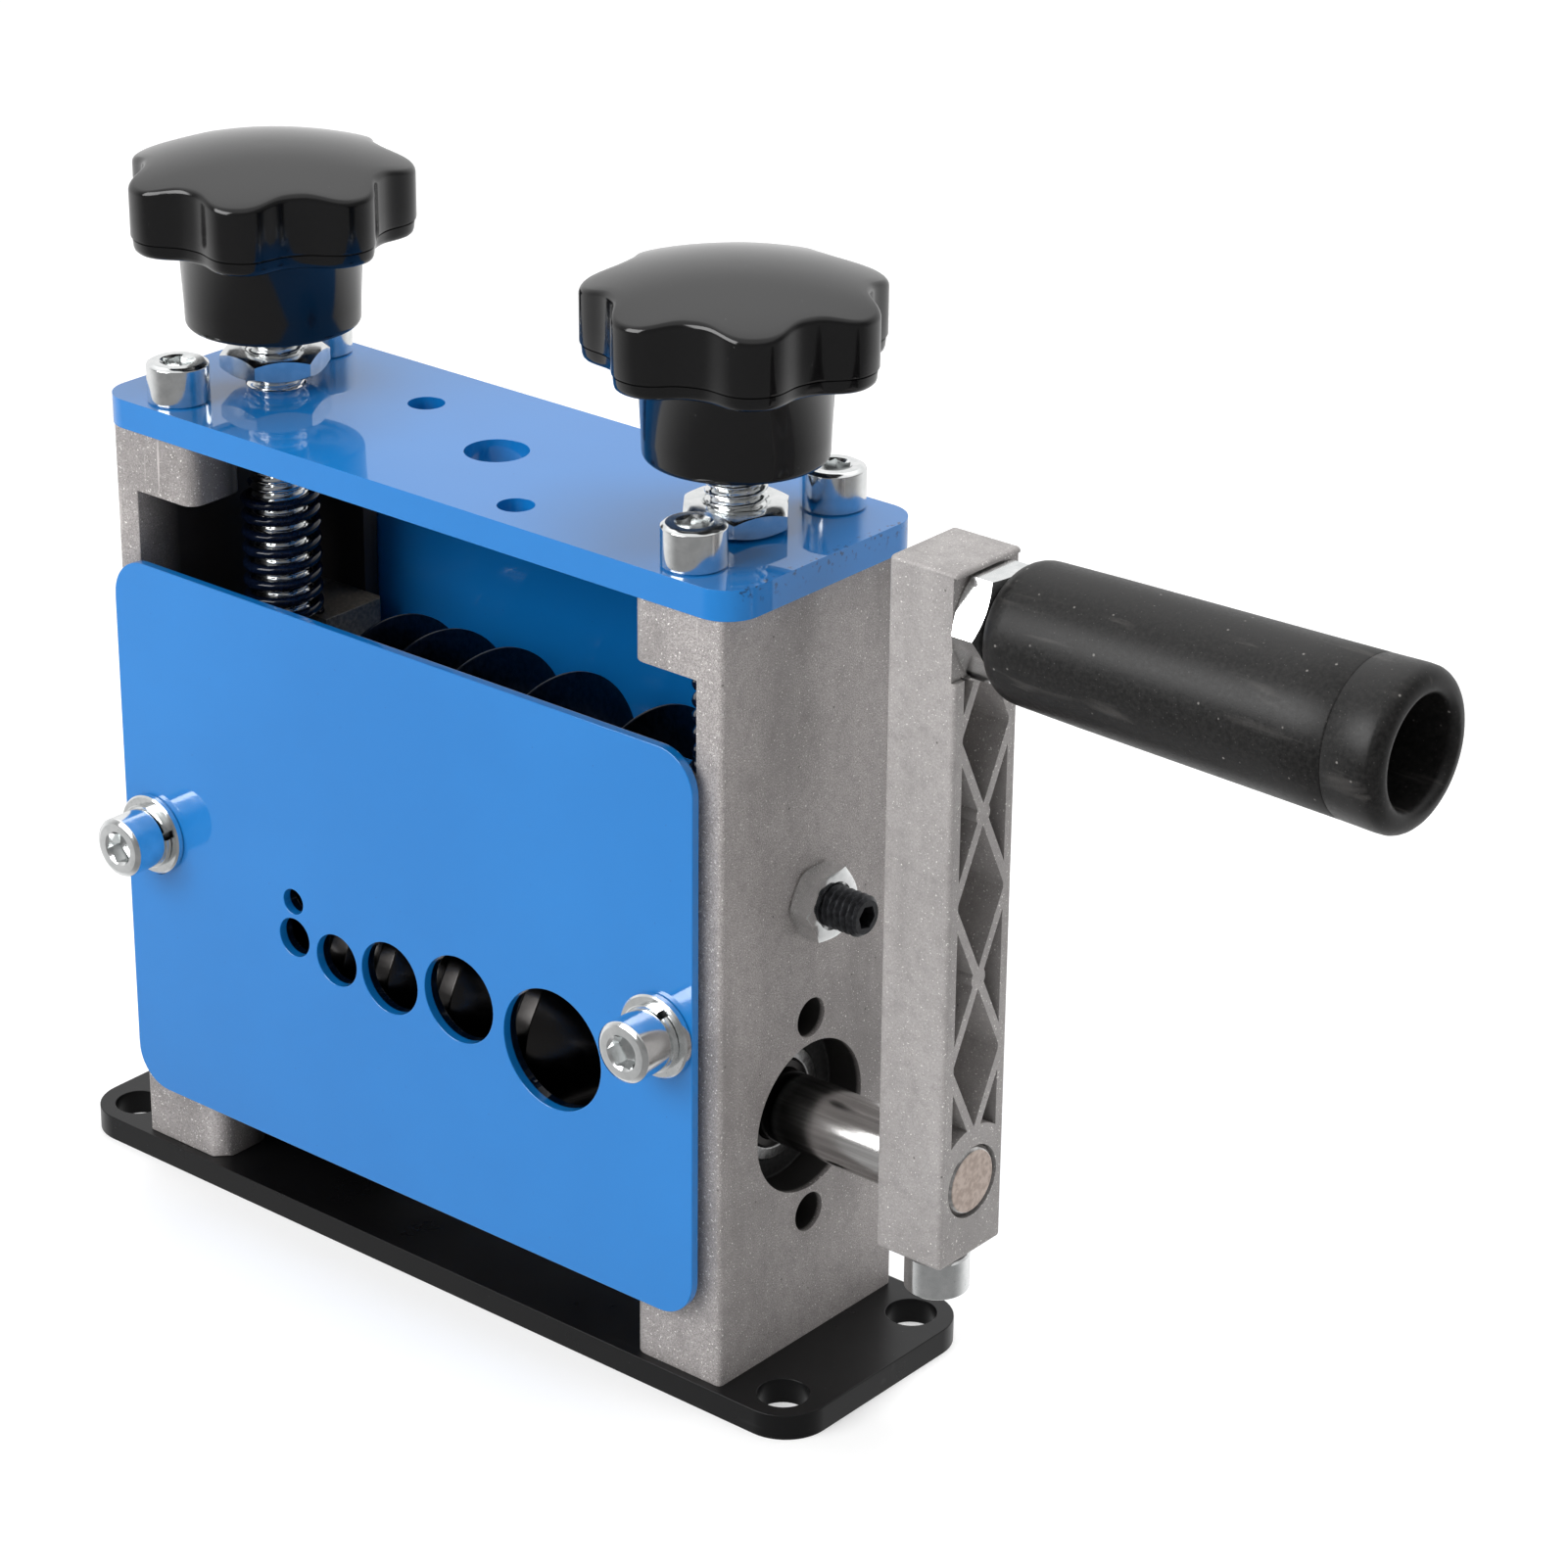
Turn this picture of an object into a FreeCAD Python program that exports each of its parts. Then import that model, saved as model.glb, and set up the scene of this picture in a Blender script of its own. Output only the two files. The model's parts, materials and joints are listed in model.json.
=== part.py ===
"""Hand crank wire stripper, built as separate pieces with working joints.

Frame: +Z up, +X towards the crank, -Y towards the user who feeds the cable in.
The origin lies on the underside of the base, midway between its four bolt holes.
All sizes are millimetres and live in the spreadsheet named Sizes.
"""
import FreeCAD, Part
import math
import os
import re

import Sketcher

from FreeCAD import Placement, Rotation, Vector

doc = FreeCAD.newDocument("WireStripper")
sheet = doc.addObject("Spreadsheet::Sheet", "Sizes")

SIZES = {
    # base plate and its bolt holes
    "base_length": 165.2,
    "base_depth": 47,
    "base_thickness": 4.5,
    "base_corner": 8,
    "base_hole_span_x": 150,
    "base_hole_span_y": 33,
    "base_hole": 8.5,
    # cast side frames
    "frames_width": 132.6,
    "frame_depth": 44,
    "frame_height": 132.5,
    "frame_corner": 0.9,
    "column_width": 18.4,
    "column_thick": 4.8,
    "web": 5.2,
    "top_block_height": 10.8,
    "bottom_block_height": 12.5,
    "corner_block_depth": 12,
    "window_drop": 29,
    "block_corner": 3,
    "housing_radius": 21,
    "housing_step": 1,
    # drive bearings in the side frames
    "roller_axis_height": 45,
    "bearing_outside": 28,
    "bearing_inside": 15,
    "bearing_width": 7,
    "bearing_recess": 6.5,
    "inner_race_outside": 19.6,
    "side_opening": 26,
    "side_hole_radius": 17.6,
    "side_hole": 6.7,
    "side_hole_depth": 12,
    # top plate
    "top_overhang": 2.5,
    "top_depth": 45.8,
    "top_thickness": 5,
    "top_corner": 6,
    "top_screw_inset": 10.45,
    "top_screw_span_y": 33,
    "centre_hole": 10.6,
    "front_hole": 6,
    "front_hole_x": 18.9,
    "front_hole_y": 15.9,
    "rear_hole": 6.2,
    "rear_hole_x": 24.1,
    "rear_hole_y": 8.9,
    # front guide plate and back plate
    "plate_margin": 2.55,
    "plate_shift": -0.8,
    "plate_height": 98.6,
    "plate_bottom": 16.4,
    "plate_thickness": 3,
    "plate_corner": 7,
    "plate_screw_inset": 9.5,
    "plate_screw_height": 66,
    "guide_travel": 4.5,
    "exit_inset": 24.3,
    "exit_height": 34,
    "exit_centre_height": 68,
    # guide holes: place from the middle, height of the centre, diameter;
    # the lanes spread and grow with the room between the two sliding blocks
    "lane_reach": 43.5,
    "guide_1_x": -24.6,
    "guide_1_z": 63.3,
    "guide_1": 4.5,
    "guide_2_x": -24.6,
    "guide_2_z": 56.7,
    "guide_2": 6.9,
    "guide_3_x": -14.8,
    "guide_3_z": 55.6,
    "guide_3": 9.2,
    "guide_4_x": -2.6,
    "guide_4_z": 56.3,
    "guide_4": 12.7,
    "guide_5_x": 13,
    "guide_5_z": 57.6,
    "guide_5": 15.2,
    "guide_6_x": 33.4,
    "guide_6_z": 55.4,
    "guide_6": 20.9,
    # feed roller with its shaft
    "roller_radius": 20,
    "roller_gap": 1.9,
    "roller_shoulder": 18,
    "crank_seat": 12,
    "shaft_recess": 3,
    "shaft_chamfer": 1,
    "groove_lead": 1,
    "groove_2": 5,
    "groove_3": 7,
    "groove_4": 11,
    "groove_5": 14,
    "groove_6": 20,
    "groove_bevel": 0.8,
    "groove_floor": 1.6,
    "groove_slope": 0.5,
    # blade shaft, its blades and spacers
    "blade_gap": 1.1,
    "blade_radius": 20,
    "blade_thick": 4,
    "blade_bevel": 6,
    "blade_land": 0.5,
    "arbor": 16,
    "arbor_collar": 24,
    "arbor_collar_thick": 2,
    "arbor_collar_gap": 2.4,
    "arbor_gap": 0.5,
    "arbor_run_out": 0.6,
    "spacer": 24,
    "journal": 12,
    "journal_length": 13.5,
    "blade_lift": 12,
    "arbor_nut_flats": 24,
    "arbor_nut_thick": 7,
    # sliding bearing blocks
    "block_length": 17.1,
    "block_side_gap": 0.5,
    "block_above": 14,
    "block_below": 18,
    "bush_outside": 15,
    "bush_length": 13.8,
    "block_chamfer": 0.8,
    # adjusting screws, jam nuts, springs and star knobs
    "adjuster_inset": 6.6,
    "adjuster": 9.8,
    "adjuster_neck": 6,
    "adjuster_foot": 11,
    "adjuster_foot_thick": 2.5,
    "adjuster_cover": 2.5,
    "foot_clearance": 0.3,
    "jam_nut_flats": 16,
    "jam_nut_thick": 3.9,
    "right_nut_gap": 0.3,
    "left_nut_gap": 2.4,
    "right_nut_turn": 8.5,
    "left_nut_turn": -5.5,
    "spring_wire": 1.7,
    "spring_mean": 12.1,
    "spring_pitch": 3.05,
    "spring_gap": 13,
    "knob_radius": 24,
    "right_knob_gap": 11.6,
    "left_knob_gap": 10.7,
    "right_knob_turn": -17.3,
    "left_knob_turn": 19.1,
    "knob_hub_small": 29.4,
    "knob_hub_large": 30.8,
    "knob_hub_length": 14.8,
    "knob_skirt": 2.6,
    "knob_head_edge": 12.2,
    "knob_dome": 4.1,
    "knob_edge_in": 1.3,
    "knob_edge_drop": 2,
    "knob_edge_round": 2.2,
    "knob_hub_bevel": 0.8,
    "knob_crown_radius": 65,
    "knob_scallop": 6.5,
    "knob_scallop_place": 26.4,
    "knob_lobe_round": 3.4,
    "knob_screw_depth": 20,
    # crank arm
    "crank_gap": 19.9,
    "crank_thick": 12.9,
    "crank_width": 15.6,
    "crank_below_axis": 13.1,
    "crank_above_handle": 9.1,
    "crank_radius": 94.8,
    "crank_rim": 2.2,
    "crank_recess": 7,
    "crank_rib": 1.8,
    "crank_rib_pitch": 27.6,
    "crank_rib_first": 7.8,
    "crank_boss_ring": 9.6,
    "crank_pip": 1.7,
    "crank_edge": 0.8,
    "clamp_gap": 1.5,
    # handle
    "handle_nut_flats": 16,
    "handle_nut_thick": 5.6,
    "handle_nut_seat": 0.8,
    "handle_nut_room": 8.3,
    "handle_bolt": 10,
    "handle_bolt_head": 16,
    "handle_bolt_head_thick": 8,
    "grip_gap": 0.4,
    "grip_length": 70.2,
    "grip_near_radius": 11,
    "grip_far_radius": 12.3,
    "grip_near_round": 5,
    "grip_end_radius": 10.6,
    "grip_end_round": 2.4,
    "grip_hole": 17,
    "grip_web": 24,
    # block lock screws
    "lock_drop": 2.4,
    "lock_screw": 7,
    "lock_reach": 10.9,
    "lock_length": 16,
    "lock_nut_flats": 11,
    "lock_nut_thick": 4.55,
    "lock_socket": 4,
    # M6 screws, washers and their holes
    "screw": 6,
    "screw_head": 10.4,
    "screw_head_height": 6.8,
    "screw_crown": 0.4,
    "screw_socket": 5,
    "screw_socket_depth": 3,
    "screw_length": 14,
    "plate_screw_length": 10,
    "washer": 13,
    "washer_thick": 1.5,
    "spring_washer": 10.6,
    "spring_washer_thick": 1.5,
    "split_gap": 0.8,
    "split_angle": 25,
    "sink_head": 11.5,
    # small bevels on ends of pins, studs and shafts
    "pin_bevel": 0.6,
    "stud_bevel": 0.8,
    # clearances
    "running_clearance": 0.05,
    "slide_clearance": 0.1,
    "screw_clearance": 0.2,
    "thread_clearance": 0.1,
}

for row, (alias, number) in enumerate(SIZES.items(), start=1):
    sheet.set(f"A{row}", alias)
    sheet.set(f"B{row}", str(number))
    sheet.setAlias(f"B{row}", alias)
doc.recompute()

NAMES = re.compile(r"\b(" + "|".join(sorted(SIZES, key=len, reverse=True)) + r")\b")


def sized(expression):
    """An expression in plain size names, as FreeCAD reads it."""
    return NAMES.sub(r"Sizes.\1", str(expression))


def value(expression):
    """The number that an expression gives."""
    return float(sheet.evalExpression(sized(expression)))


# Faces and heights that several pieces share.
FRAME_TOP = "(base_thickness + frame_height)"
TOP_FACE = f"({FRAME_TOP} + top_thickness)"
SIDE_FACE = "(frames_width / 2)"
COLUMN_FACE = f"({SIDE_FACE} - column_width)"
WEB_FACE = f"({SIDE_FACE} - web)"
HALF_DEPTH = "(frame_depth / 2)"
CHANNEL = f"({HALF_DEPTH} - column_thick)"
WINDOW_SILL = f"({FRAME_TOP} - window_drop)"
TOP_SCREW_SPAN = "(frames_width - 2 * top_screw_inset)"
BEARING_OUT = f"({SIDE_FACE} - bearing_recess)"
BEARING_IN = f"({BEARING_OUT} - bearing_width)"
BLOCK_OUTER = f"({WEB_FACE} - block_side_gap)"
BLOCK_INNER = f"({BLOCK_OUTER} - block_length)"
BLADE_AXIS = "(roller_axis_height + roller_radius + blade_gap + blade_radius)"
BLOCK_TOP = f"({BLADE_AXIS} + block_above)"
SPRING_TOP = f"({FRAME_TOP} - spring_gap)"
LOCK_HEIGHT = f"({BLADE_AXIS} - lock_drop)"
JOURNAL_END = f"({BLOCK_INNER} + journal_length)"
ADJUSTER_X = f"({BLOCK_INNER} + adjuster_inset)"
ROLLER_HALF = f"({COLUMN_FACE} - roller_gap)"
LANE_SCALE = f"({BLOCK_INNER} / lane_reach)"
CRANK_IN = f"({SIDE_FACE} + crank_gap)"
CRANK_OUT = f"({CRANK_IN} + crank_thick)"
NUT_SEAT = f"({CRANK_OUT} - handle_nut_seat)"
HANDLE_HEIGHT = "(roller_axis_height + crank_radius)"
GRIP_NEAR = f"({NUT_SEAT} + handle_nut_thick + grip_gap)"
PLATE_FACE = f"({HALF_DEPTH} + plate_thickness)"
PLATE_WIDTH = "(frames_width - 2 * plate_margin)"
PLATE_TOP = "(plate_bottom + plate_height)"
EXIT_HALF = f"({SIDE_FACE} - exit_inset)"
SCREW_HOLE = "(screw + 2 * screw_clearance)"

KNOB_LOBES = 7
WIRE_SIDES = 8
CRANK_CROSSINGS = 4
GROOVES = range(2, 7)

# An arc is drawn a hair larger than half its chord, or its sketch has no single answer.
ARC_SLACK = 0.0001

ALONG_X = Rotation(Vector(0, 1, 0), 90)
AGAINST_X = Rotation(Vector(0, 1, 0), -90)
ALONG_Y = Rotation(Vector(1, 0, 0), -90)
AGAINST_Y = Rotation(Vector(1, 0, 0), 90)
DOWN = Rotation(Vector(1, 0, 0), 180)
UPRIGHT = Rotation()
CORNERS_ACROSS = Rotation(Vector(0, 0, 1), 90)


# ------------------------------------------------------------------ helpers

def place(thing, x="0", y="0", z="0", turn=UPRIGHT):
    """Turn a piece and bind its place to the sheet."""
    thing.Placement = Placement(Vector(0, 0, 0), turn)
    for axis, expression in (("x", x), ("y", y), ("z", z)):
        thing.setExpression(f".Placement.Base.{axis}", sized(expression))
    return thing


def primitive(kind, name, **sizes):
    """A Part primitive whose sizes are expressions."""
    thing = doc.addObject("Part::" + kind, name)
    for prop, expression in sizes.items():
        thing.setExpression(prop, sized(expression))
    return thing


def cylinder(name, radius, height, z="0"):
    return place(primitive("Cylinder", name, Radius=radius, Height=height), z=z)


def cone(name, lower, upper, height, z="0"):
    return place(primitive("Cone", name, Radius1=lower, Radius2=upper, Height=height), z=z)


def hexagon(name, flats, height, z="0"):
    """A hexagonal prism from its width across flats."""
    prism = primitive("Prism", name, Circumradius=f"({flats}) / 2 / cos(30)", Height=height)
    prism.Polygon = 6
    return place(prism, z=z)


def cut(name, base, tool):
    result = doc.addObject("Part::Cut", name)
    result.Base = base
    result.Tool = tool
    return result


def common(name, base, tool):
    result = doc.addObject("Part::Common", name)
    result.Base = base
    result.Tool = tool
    return result


def fuse(name, *shapes):
    result = doc.addObject("Part::MultiFuse", name)
    result.Shapes = list(shapes)
    return result


def group(name, pieces):
    """Like pieces kept together as one compound of separate solids."""
    result = doc.addObject("Part::Compound", name)
    result.Links = pieces
    return result


def new_body(name):
    return doc.addObject("PartDesign::Body", name)


def sketch_on(body, name, role, offset="0"):
    """A sketch on one of the body's origin planes, moved along the plane's normal."""
    plane = [item for item in body.Origin.OriginFeatures if item.Role == role][0]
    sketch = body.newObject("Sketcher::SketchObject", name)
    sketch.AttachmentSupport = [(plane, "")]
    sketch.MapMode = "FlatFace"
    sketch.setExpression(".AttachmentOffset.Base.z", sized(offset))
    return sketch


def bind(sketch, constraints):
    """Add constraints, each with the expression that drives it, in one go."""
    indices = sketch.addConstraint([constraint for constraint, _ in constraints])
    for index, (_, expression) in zip(indices, constraints):
        if expression is not None:
            sketch.setExpression(f"Constraints[{index}]", sized(expression))


def pins(geometry, vertex, u, v):
    """The two constraints that hold a point of the sketch at (u, v)."""
    return [
        (Sketcher.Constraint("DistanceX", -1, 1, geometry, vertex, value(u)), u),
        (Sketcher.Constraint("DistanceY", -1, 1, geometry, vertex, value(v)), v),
    ]


def about_z(degrees):
    """A turn about the upright axis by a size in degrees."""
    return Rotation(Vector(0, 0, 1), value(degrees))


def arc_between(start, end, radius, side):
    """An arc from start to end; side +1 bulges to the left of that direction."""
    chord = end - start
    half = chord.Length / 2
    across = Vector(-chord.y, chord.x, 0).normalize()
    rise = radius - math.sqrt(radius**2 - half**2)
    middle = (start + end) / 2 + across * (side * rise)
    return Part.Arc(start, middle, end)


def outline(sketch, points, arcs=None):
    """A closed outline through the points; arcs gives a radius and side for some runs."""
    arcs = arcs or {}
    corners = [Vector(value(u), value(v), 0) for u, v in points]
    count = len(points)
    ends = []
    constraints = []
    for index in range(count):
        start = corners[index]
        end = corners[(index + 1) % count]
        if index in arcs:
            radius, side = arcs[index]
            curve = arc_between(start, end, value(radius), side)
            geometry = sketch.addGeometry(curve, False)
            ends.append((geometry, 1, 2) if side < 0 else (geometry, 2, 1))
            constraints.append((Sketcher.Constraint("Radius", geometry, value(radius)), radius))
        else:
            geometry = sketch.addGeometry(Part.LineSegment(start, end), False)
            ends.append((geometry, 1, 2))
    for index, (u, v) in enumerate(points):
        geometry, first, _ = ends[index]
        before, _, last = ends[index - 1]
        constraints.append((Sketcher.Constraint("Coincident", before, last, geometry, first), None))
        constraints.extend(pins(geometry, first, u, v))
    bind(sketch, constraints)


def rectangle(sketch, left, bottom, right, top):
    outline(sketch, [(left, bottom), (right, bottom), (right, top), (left, top)])


def circle(sketch, u, v, diameter):
    ring = Part.Circle(Vector(value(u), value(v), 0), Vector(0, 0, 1), value(diameter) / 2)
    geometry = sketch.addGeometry(ring, False)
    size = (Sketcher.Constraint("Diameter", geometry, value(diameter)), diameter)
    bind(sketch, pins(geometry, 3, u, v) + [size])


def four_circles(sketch, span_u, span_v, diameter):
    """One circle at each corner of a rectangle about the sketch's origin."""
    for u_sign in (-1, 1):
        for v_sign in (-1, 1):
            circle(sketch, f"{u_sign} * {span_u} / 2", f"{v_sign} * {span_v} / 2", diameter)


def extrude(body, kind, sketch, length, reverse=False):
    """A Pad or Pocket, which has to change the body's volume."""
    before = body.Shape.Volume if body.Tip else 0
    feature = body.newObject("PartDesign::" + kind, f"{sketch.Name}_{kind.lower()}")
    feature.Profile = sketch
    feature.Reversed = reverse
    feature.setExpression("Length", sized(length))
    sketch.Visibility = False
    doc.recompute()
    check_change(body, feature, before)
    return feature


def turn(body, kind, sketch, axis="H_Axis"):
    """A full Revolution or Groove about an axis of the sketch."""
    before = body.Shape.Volume if body.Tip else 0
    feature = body.newObject("PartDesign::" + kind, f"{sketch.Name}_{kind.lower()}")
    feature.Profile = sketch
    feature.ReferenceAxis = (sketch, [axis])
    feature.Angle = 360
    sketch.Visibility = False
    doc.recompute()
    check_change(body, feature, before)
    return feature


def check_change(body, feature, before):
    """Stop if a feature has added or cut nothing."""
    if abs(body.Shape.Volume - before) < 0.01:
        raise RuntimeError(f"{feature.Name} changes nothing")


def soften(body, kind, size, wanted):
    """Fillet or chamfer the edges of the body that the test picks."""
    base = body.Tip
    picked = [f"Edge{count}" for count, edge in enumerate(base.Shape.Edges, start=1) if wanted(edge)]
    feature = body.newObject("PartDesign::" + kind, f"{base.Name}_{kind.lower()}")
    feature.Base = (base, picked)
    feature.setExpression("Radius" if kind == "Fillet" else "Size", sized(size))
    doc.recompute()
    return feature


def polar(body, feature, sketch, axis, copies):
    """Repeat a feature round an axis of its sketch."""
    pattern = body.newObject("PartDesign::PolarPattern", feature.Name + "_pattern")
    pattern.Originals = [feature]
    pattern.Axis = (sketch, [axis])
    pattern.Angle = 360
    pattern.Occurrences = copies
    body.Tip = pattern
    doc.recompute()
    return pattern


def along(edge, direction):
    """True for a straight edge along the direction."""
    curve = edge.Curve
    return curve.TypeId == "Part::GeomLine" and abs(curve.Direction.dot(direction)) > 0.999


def close(number, target):
    return abs(number - target) < 0.01


def upright_edge(x, y):
    """A test for the upright edges at a distance x and y from the middle."""
    def test(edge):
        centre = edge.CenterOfMass
        at_place = close(abs(centre.x), value(x)) and close(abs(centre.y), value(y))
        return along(edge, Vector(0, 0, 1)) and at_place
    return test


# ------------------------------------------------------------------- base

def make_base_plate():
    """A flat steel plate with bolt holes in its ends and sunk screws under the frames."""
    body = new_body("base_plate")
    profile = sketch_on(body, "base_outline", "XY_Plane")
    rectangle(profile, "-base_length / 2", "-base_depth / 2", "base_length / 2", "base_depth / 2")
    extrude(body, "Pad", profile, "base_thickness")
    soften(body, "Fillet", "base_corner", upright_edge("base_length / 2", "base_depth / 2"))
    holes = sketch_on(body, "base_bolt_holes", "XY_Plane")
    four_circles(holes, "base_hole_span_x", "base_hole_span_y", "base_hole")
    extrude(body, "Pocket", holes, "base_thickness", reverse=True)
    screws = sketch_on(body, "base_screw_holes", "XY_Plane")
    four_circles(screws, TOP_SCREW_SPAN, "top_screw_span_y", SCREW_HOLE)
    extrude(body, "Pocket", screws, "base_thickness", reverse=True)
    soften(body, "Chamfer", f"(sink_head - {SCREW_HOLE}) / 2", is_sink)
    return body


def is_sink(edge):
    """The lower rims of the screw holes under the base."""
    curve = edge.Curve
    is_ring = curve.TypeId == "Part::GeomCircle" and close(edge.CenterOfMass.z, 0)
    return is_ring and close(curve.Radius, value(SCREW_HOLE) / 2)


def sunk_screw(name, x, y):
    """A flat-head M6 screw put in from below."""
    slope = "(sink_head - screw) / 2"
    head = cone(name + "_head", "sink_head / 2 - screw_clearance", "screw / 2 - screw_clearance", slope)
    shank = cylinder(name + "_shank", "screw / 2", "screw_length")
    socket = hexagon(name + "_socket", "lock_socket", "screw_socket_depth / 2")
    screw = cut(name, fuse(name + "_blank", head, shank), socket)
    return place(screw, x, y)


def make_base_screws():
    screws = []
    for x_sign in (-1, 1):
        for y_sign in (-1, 1):
            name = f"base_screw_{len(screws) + 1}"
            x = f"{x_sign} * {TOP_SCREW_SPAN} / 2"
            y = f"{y_sign} * top_screw_span_y / 2"
            screws.append(sunk_screw(name, x, y))
    return group("base_screws", screws)


# ------------------------------------------------------------ side frames

def plate_screw_x(side):
    """X of the screws that hold the upright plates."""
    return f"(plate_shift + {side} * ({SIDE_FACE} - plate_screw_inset))"


def corner_block(body, name, y_sign, bottom, height, side):
    """A solid corner inside the channel that takes a screw from above or below."""
    block = sketch_on(body, name, "XY_Plane", bottom)
    inner = f"{side} * {COLUMN_FACE}"
    outer = f"{side} * ({SIDE_FACE} - web / 2)"
    edge = f"{y_sign} * {HALF_DEPTH}"
    depth = f"{y_sign} * ({HALF_DEPTH} - corner_block_depth)"
    points = [(inner, edge), (outer, edge), (outer, depth), (inner, depth)]
    outline(block, points)
    extrude(body, "Pad", block, height)


def make_side_frame(name, side):
    """A cast channel, open towards the middle, with a bearing housing and screw corners."""
    body = new_body(name)
    section = sketch_on(body, name + "_channel", "XY_Plane", "base_thickness")
    outer = f"{side} * {SIDE_FACE}"
    inner = f"{side} * {COLUMN_FACE}"
    web = f"{side} * {WEB_FACE}"
    outline(section, [
        (outer, f"-{HALF_DEPTH}"), (outer, HALF_DEPTH), (inner, HALF_DEPTH), (inner, CHANNEL),
        (web, CHANNEL), (web, f"-{CHANNEL}"), (inner, f"-{CHANNEL}"), (inner, f"-{HALF_DEPTH}"),
    ])
    extrude(body, "Pad", section, "frame_height")

    # The front column stops below the top, so the springs show from the front.
    window = sketch_on(body, name + "_window", "XZ_Plane", HALF_DEPTH)
    clear = f"{side} * ({COLUMN_FACE} - column_thick)"
    outline(window, [(web, WINDOW_SILL), (web, FRAME_TOP), (clear, FRAME_TOP), (clear, WINDOW_SILL)])
    extrude(body, "Pocket", window, "column_thick")

    for y_sign, end in ((-1, "front"), (1, "back")):
        top = f"{FRAME_TOP} - top_block_height"
        corner_block(body, f"{name}_{end}_top", y_sign, top, "top_block_height", side)
        corner_block(body, f"{name}_{end}_foot", y_sign, "base_thickness", "bottom_block_height", side)
    inner_corners = upright_edge(COLUMN_FACE, f"{HALF_DEPTH} - corner_block_depth")
    soften(body, "Fillet", "block_corner", inner_corners)

    # The bearing housing fills the channel round the drive axis.
    housing = sketch_on(body, name + "_housing", "YZ_Plane", f"{side} * {COLUMN_FACE}")
    circle(housing, "0", "roller_axis_height", "2 * housing_radius")
    extrude(body, "Pad", housing, "column_width - housing_step", reverse=side < 0)
    seat = sketch_on(body, name + "_seat", "YZ_Plane", f"{side} * {COLUMN_FACE}")
    circle(seat, "0", "roller_axis_height", "bearing_outside")
    extrude(body, "Pocket", seat, f"{BEARING_OUT} - {COLUMN_FACE}", reverse=side > 0)
    opening = sketch_on(body, name + "_opening", "YZ_Plane", f"{side} * {SIDE_FACE}")
    circle(opening, "0", "roller_axis_height", "side_opening")
    extrude(body, "Pocket", opening, "bearing_recess", reverse=side < 0)

    # Two tapped holes by the bearing, and the tapped hole of the block lock screw.
    holes = sketch_on(body, name + "_side_holes", "YZ_Plane", f"{side} * {SIDE_FACE}")
    for up in (-1, 1):
        circle(holes, "0", f"roller_axis_height + {up} * side_hole_radius", "side_hole")
    extrude(body, "Pocket", holes, "side_hole_depth", reverse=side < 0)
    lock = sketch_on(body, name + "_lock_hole", "YZ_Plane", f"{side} * {SIDE_FACE}")
    circle(lock, "0", LOCK_HEIGHT, "lock_screw")
    extrude(body, "Pocket", lock, "web", reverse=side < 0)

    # Tapped holes for the top plate, the base and the two upright plates.
    top = sketch_on(body, name + "_top_holes", "XY_Plane", FRAME_TOP)
    foot = sketch_on(body, name + "_foot_holes", "XY_Plane", "base_thickness")
    for sketch in (top, foot):
        for y_sign in (-1, 1):
            circle(sketch, f"{side} * {TOP_SCREW_SPAN} / 2", f"{y_sign} * top_screw_span_y / 2", "screw")
    extrude(body, "Pocket", top, "top_block_height")
    extrude(body, "Pocket", foot, "bottom_block_height", reverse=True)
    for plane_offset, backwards in ((HALF_DEPTH, False), (f"-{HALF_DEPTH}", True)):
        label = "back" if backwards else "front"
        plate = sketch_on(body, f"{name}_{label}_hole", "XZ_Plane", plane_offset)
        circle(plate, plate_screw_x(side), "plate_screw_height", "screw")
        extrude(body, "Pocket", plate, "column_thick", reverse=backwards)
    soften(body, "Fillet", "frame_corner", upright_edge(SIDE_FACE, HALF_DEPTH))
    return body


# --------------------------------------------------------------- top plate

def make_top_plate():
    body = new_body("top_plate")
    profile = sketch_on(body, "top_outline", "XY_Plane", FRAME_TOP)
    half = f"({SIDE_FACE} + top_overhang)"
    rectangle(profile, f"-{half}", "-top_depth / 2", half, "top_depth / 2")
    extrude(body, "Pad", profile, "top_thickness")
    soften(body, "Fillet", "top_corner", upright_edge(half, "top_depth / 2"))
    holes = sketch_on(body, "top_holes", "XY_Plane", TOP_FACE)
    four_circles(holes, TOP_SCREW_SPAN, "top_screw_span_y", SCREW_HOLE)
    for side in (-1, 1):
        circle(holes, f"{side} * {ADJUSTER_X}", "0", "adjuster + 2 * thread_clearance")
    circle(holes, "0", "0", "centre_hole")
    circle(holes, "front_hole_x", "-front_hole_y", "front_hole")
    circle(holes, "-rear_hole_x", "rear_hole_y", "rear_hole")
    extrude(body, "Pocket", holes, "top_thickness")
    return body


def cap_screw(name, length, x, y, z, turned=UPRIGHT):
    """A socket-head cap screw that points down from the underside of its head."""
    shoulder = "(screw_head_height - screw_crown)"
    head = cylinder(name + "_head", "screw_head / 2", shoulder)
    crown = cone(name + "_crown", "screw_head / 2", "screw_head / 2 - screw_crown", "screw_crown", shoulder)
    shank = cylinder(name + "_shank", "screw / 2", length, f"-({length})")
    socket_floor = "(screw_head_height - screw_socket_depth)"
    socket = hexagon(name + "_socket", "screw_socket", "screw_socket_depth", socket_floor)
    screw = cut(name, fuse(name + "_blank", head, crown, shank), socket)
    return place(screw, x, y, z, turned)


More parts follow.
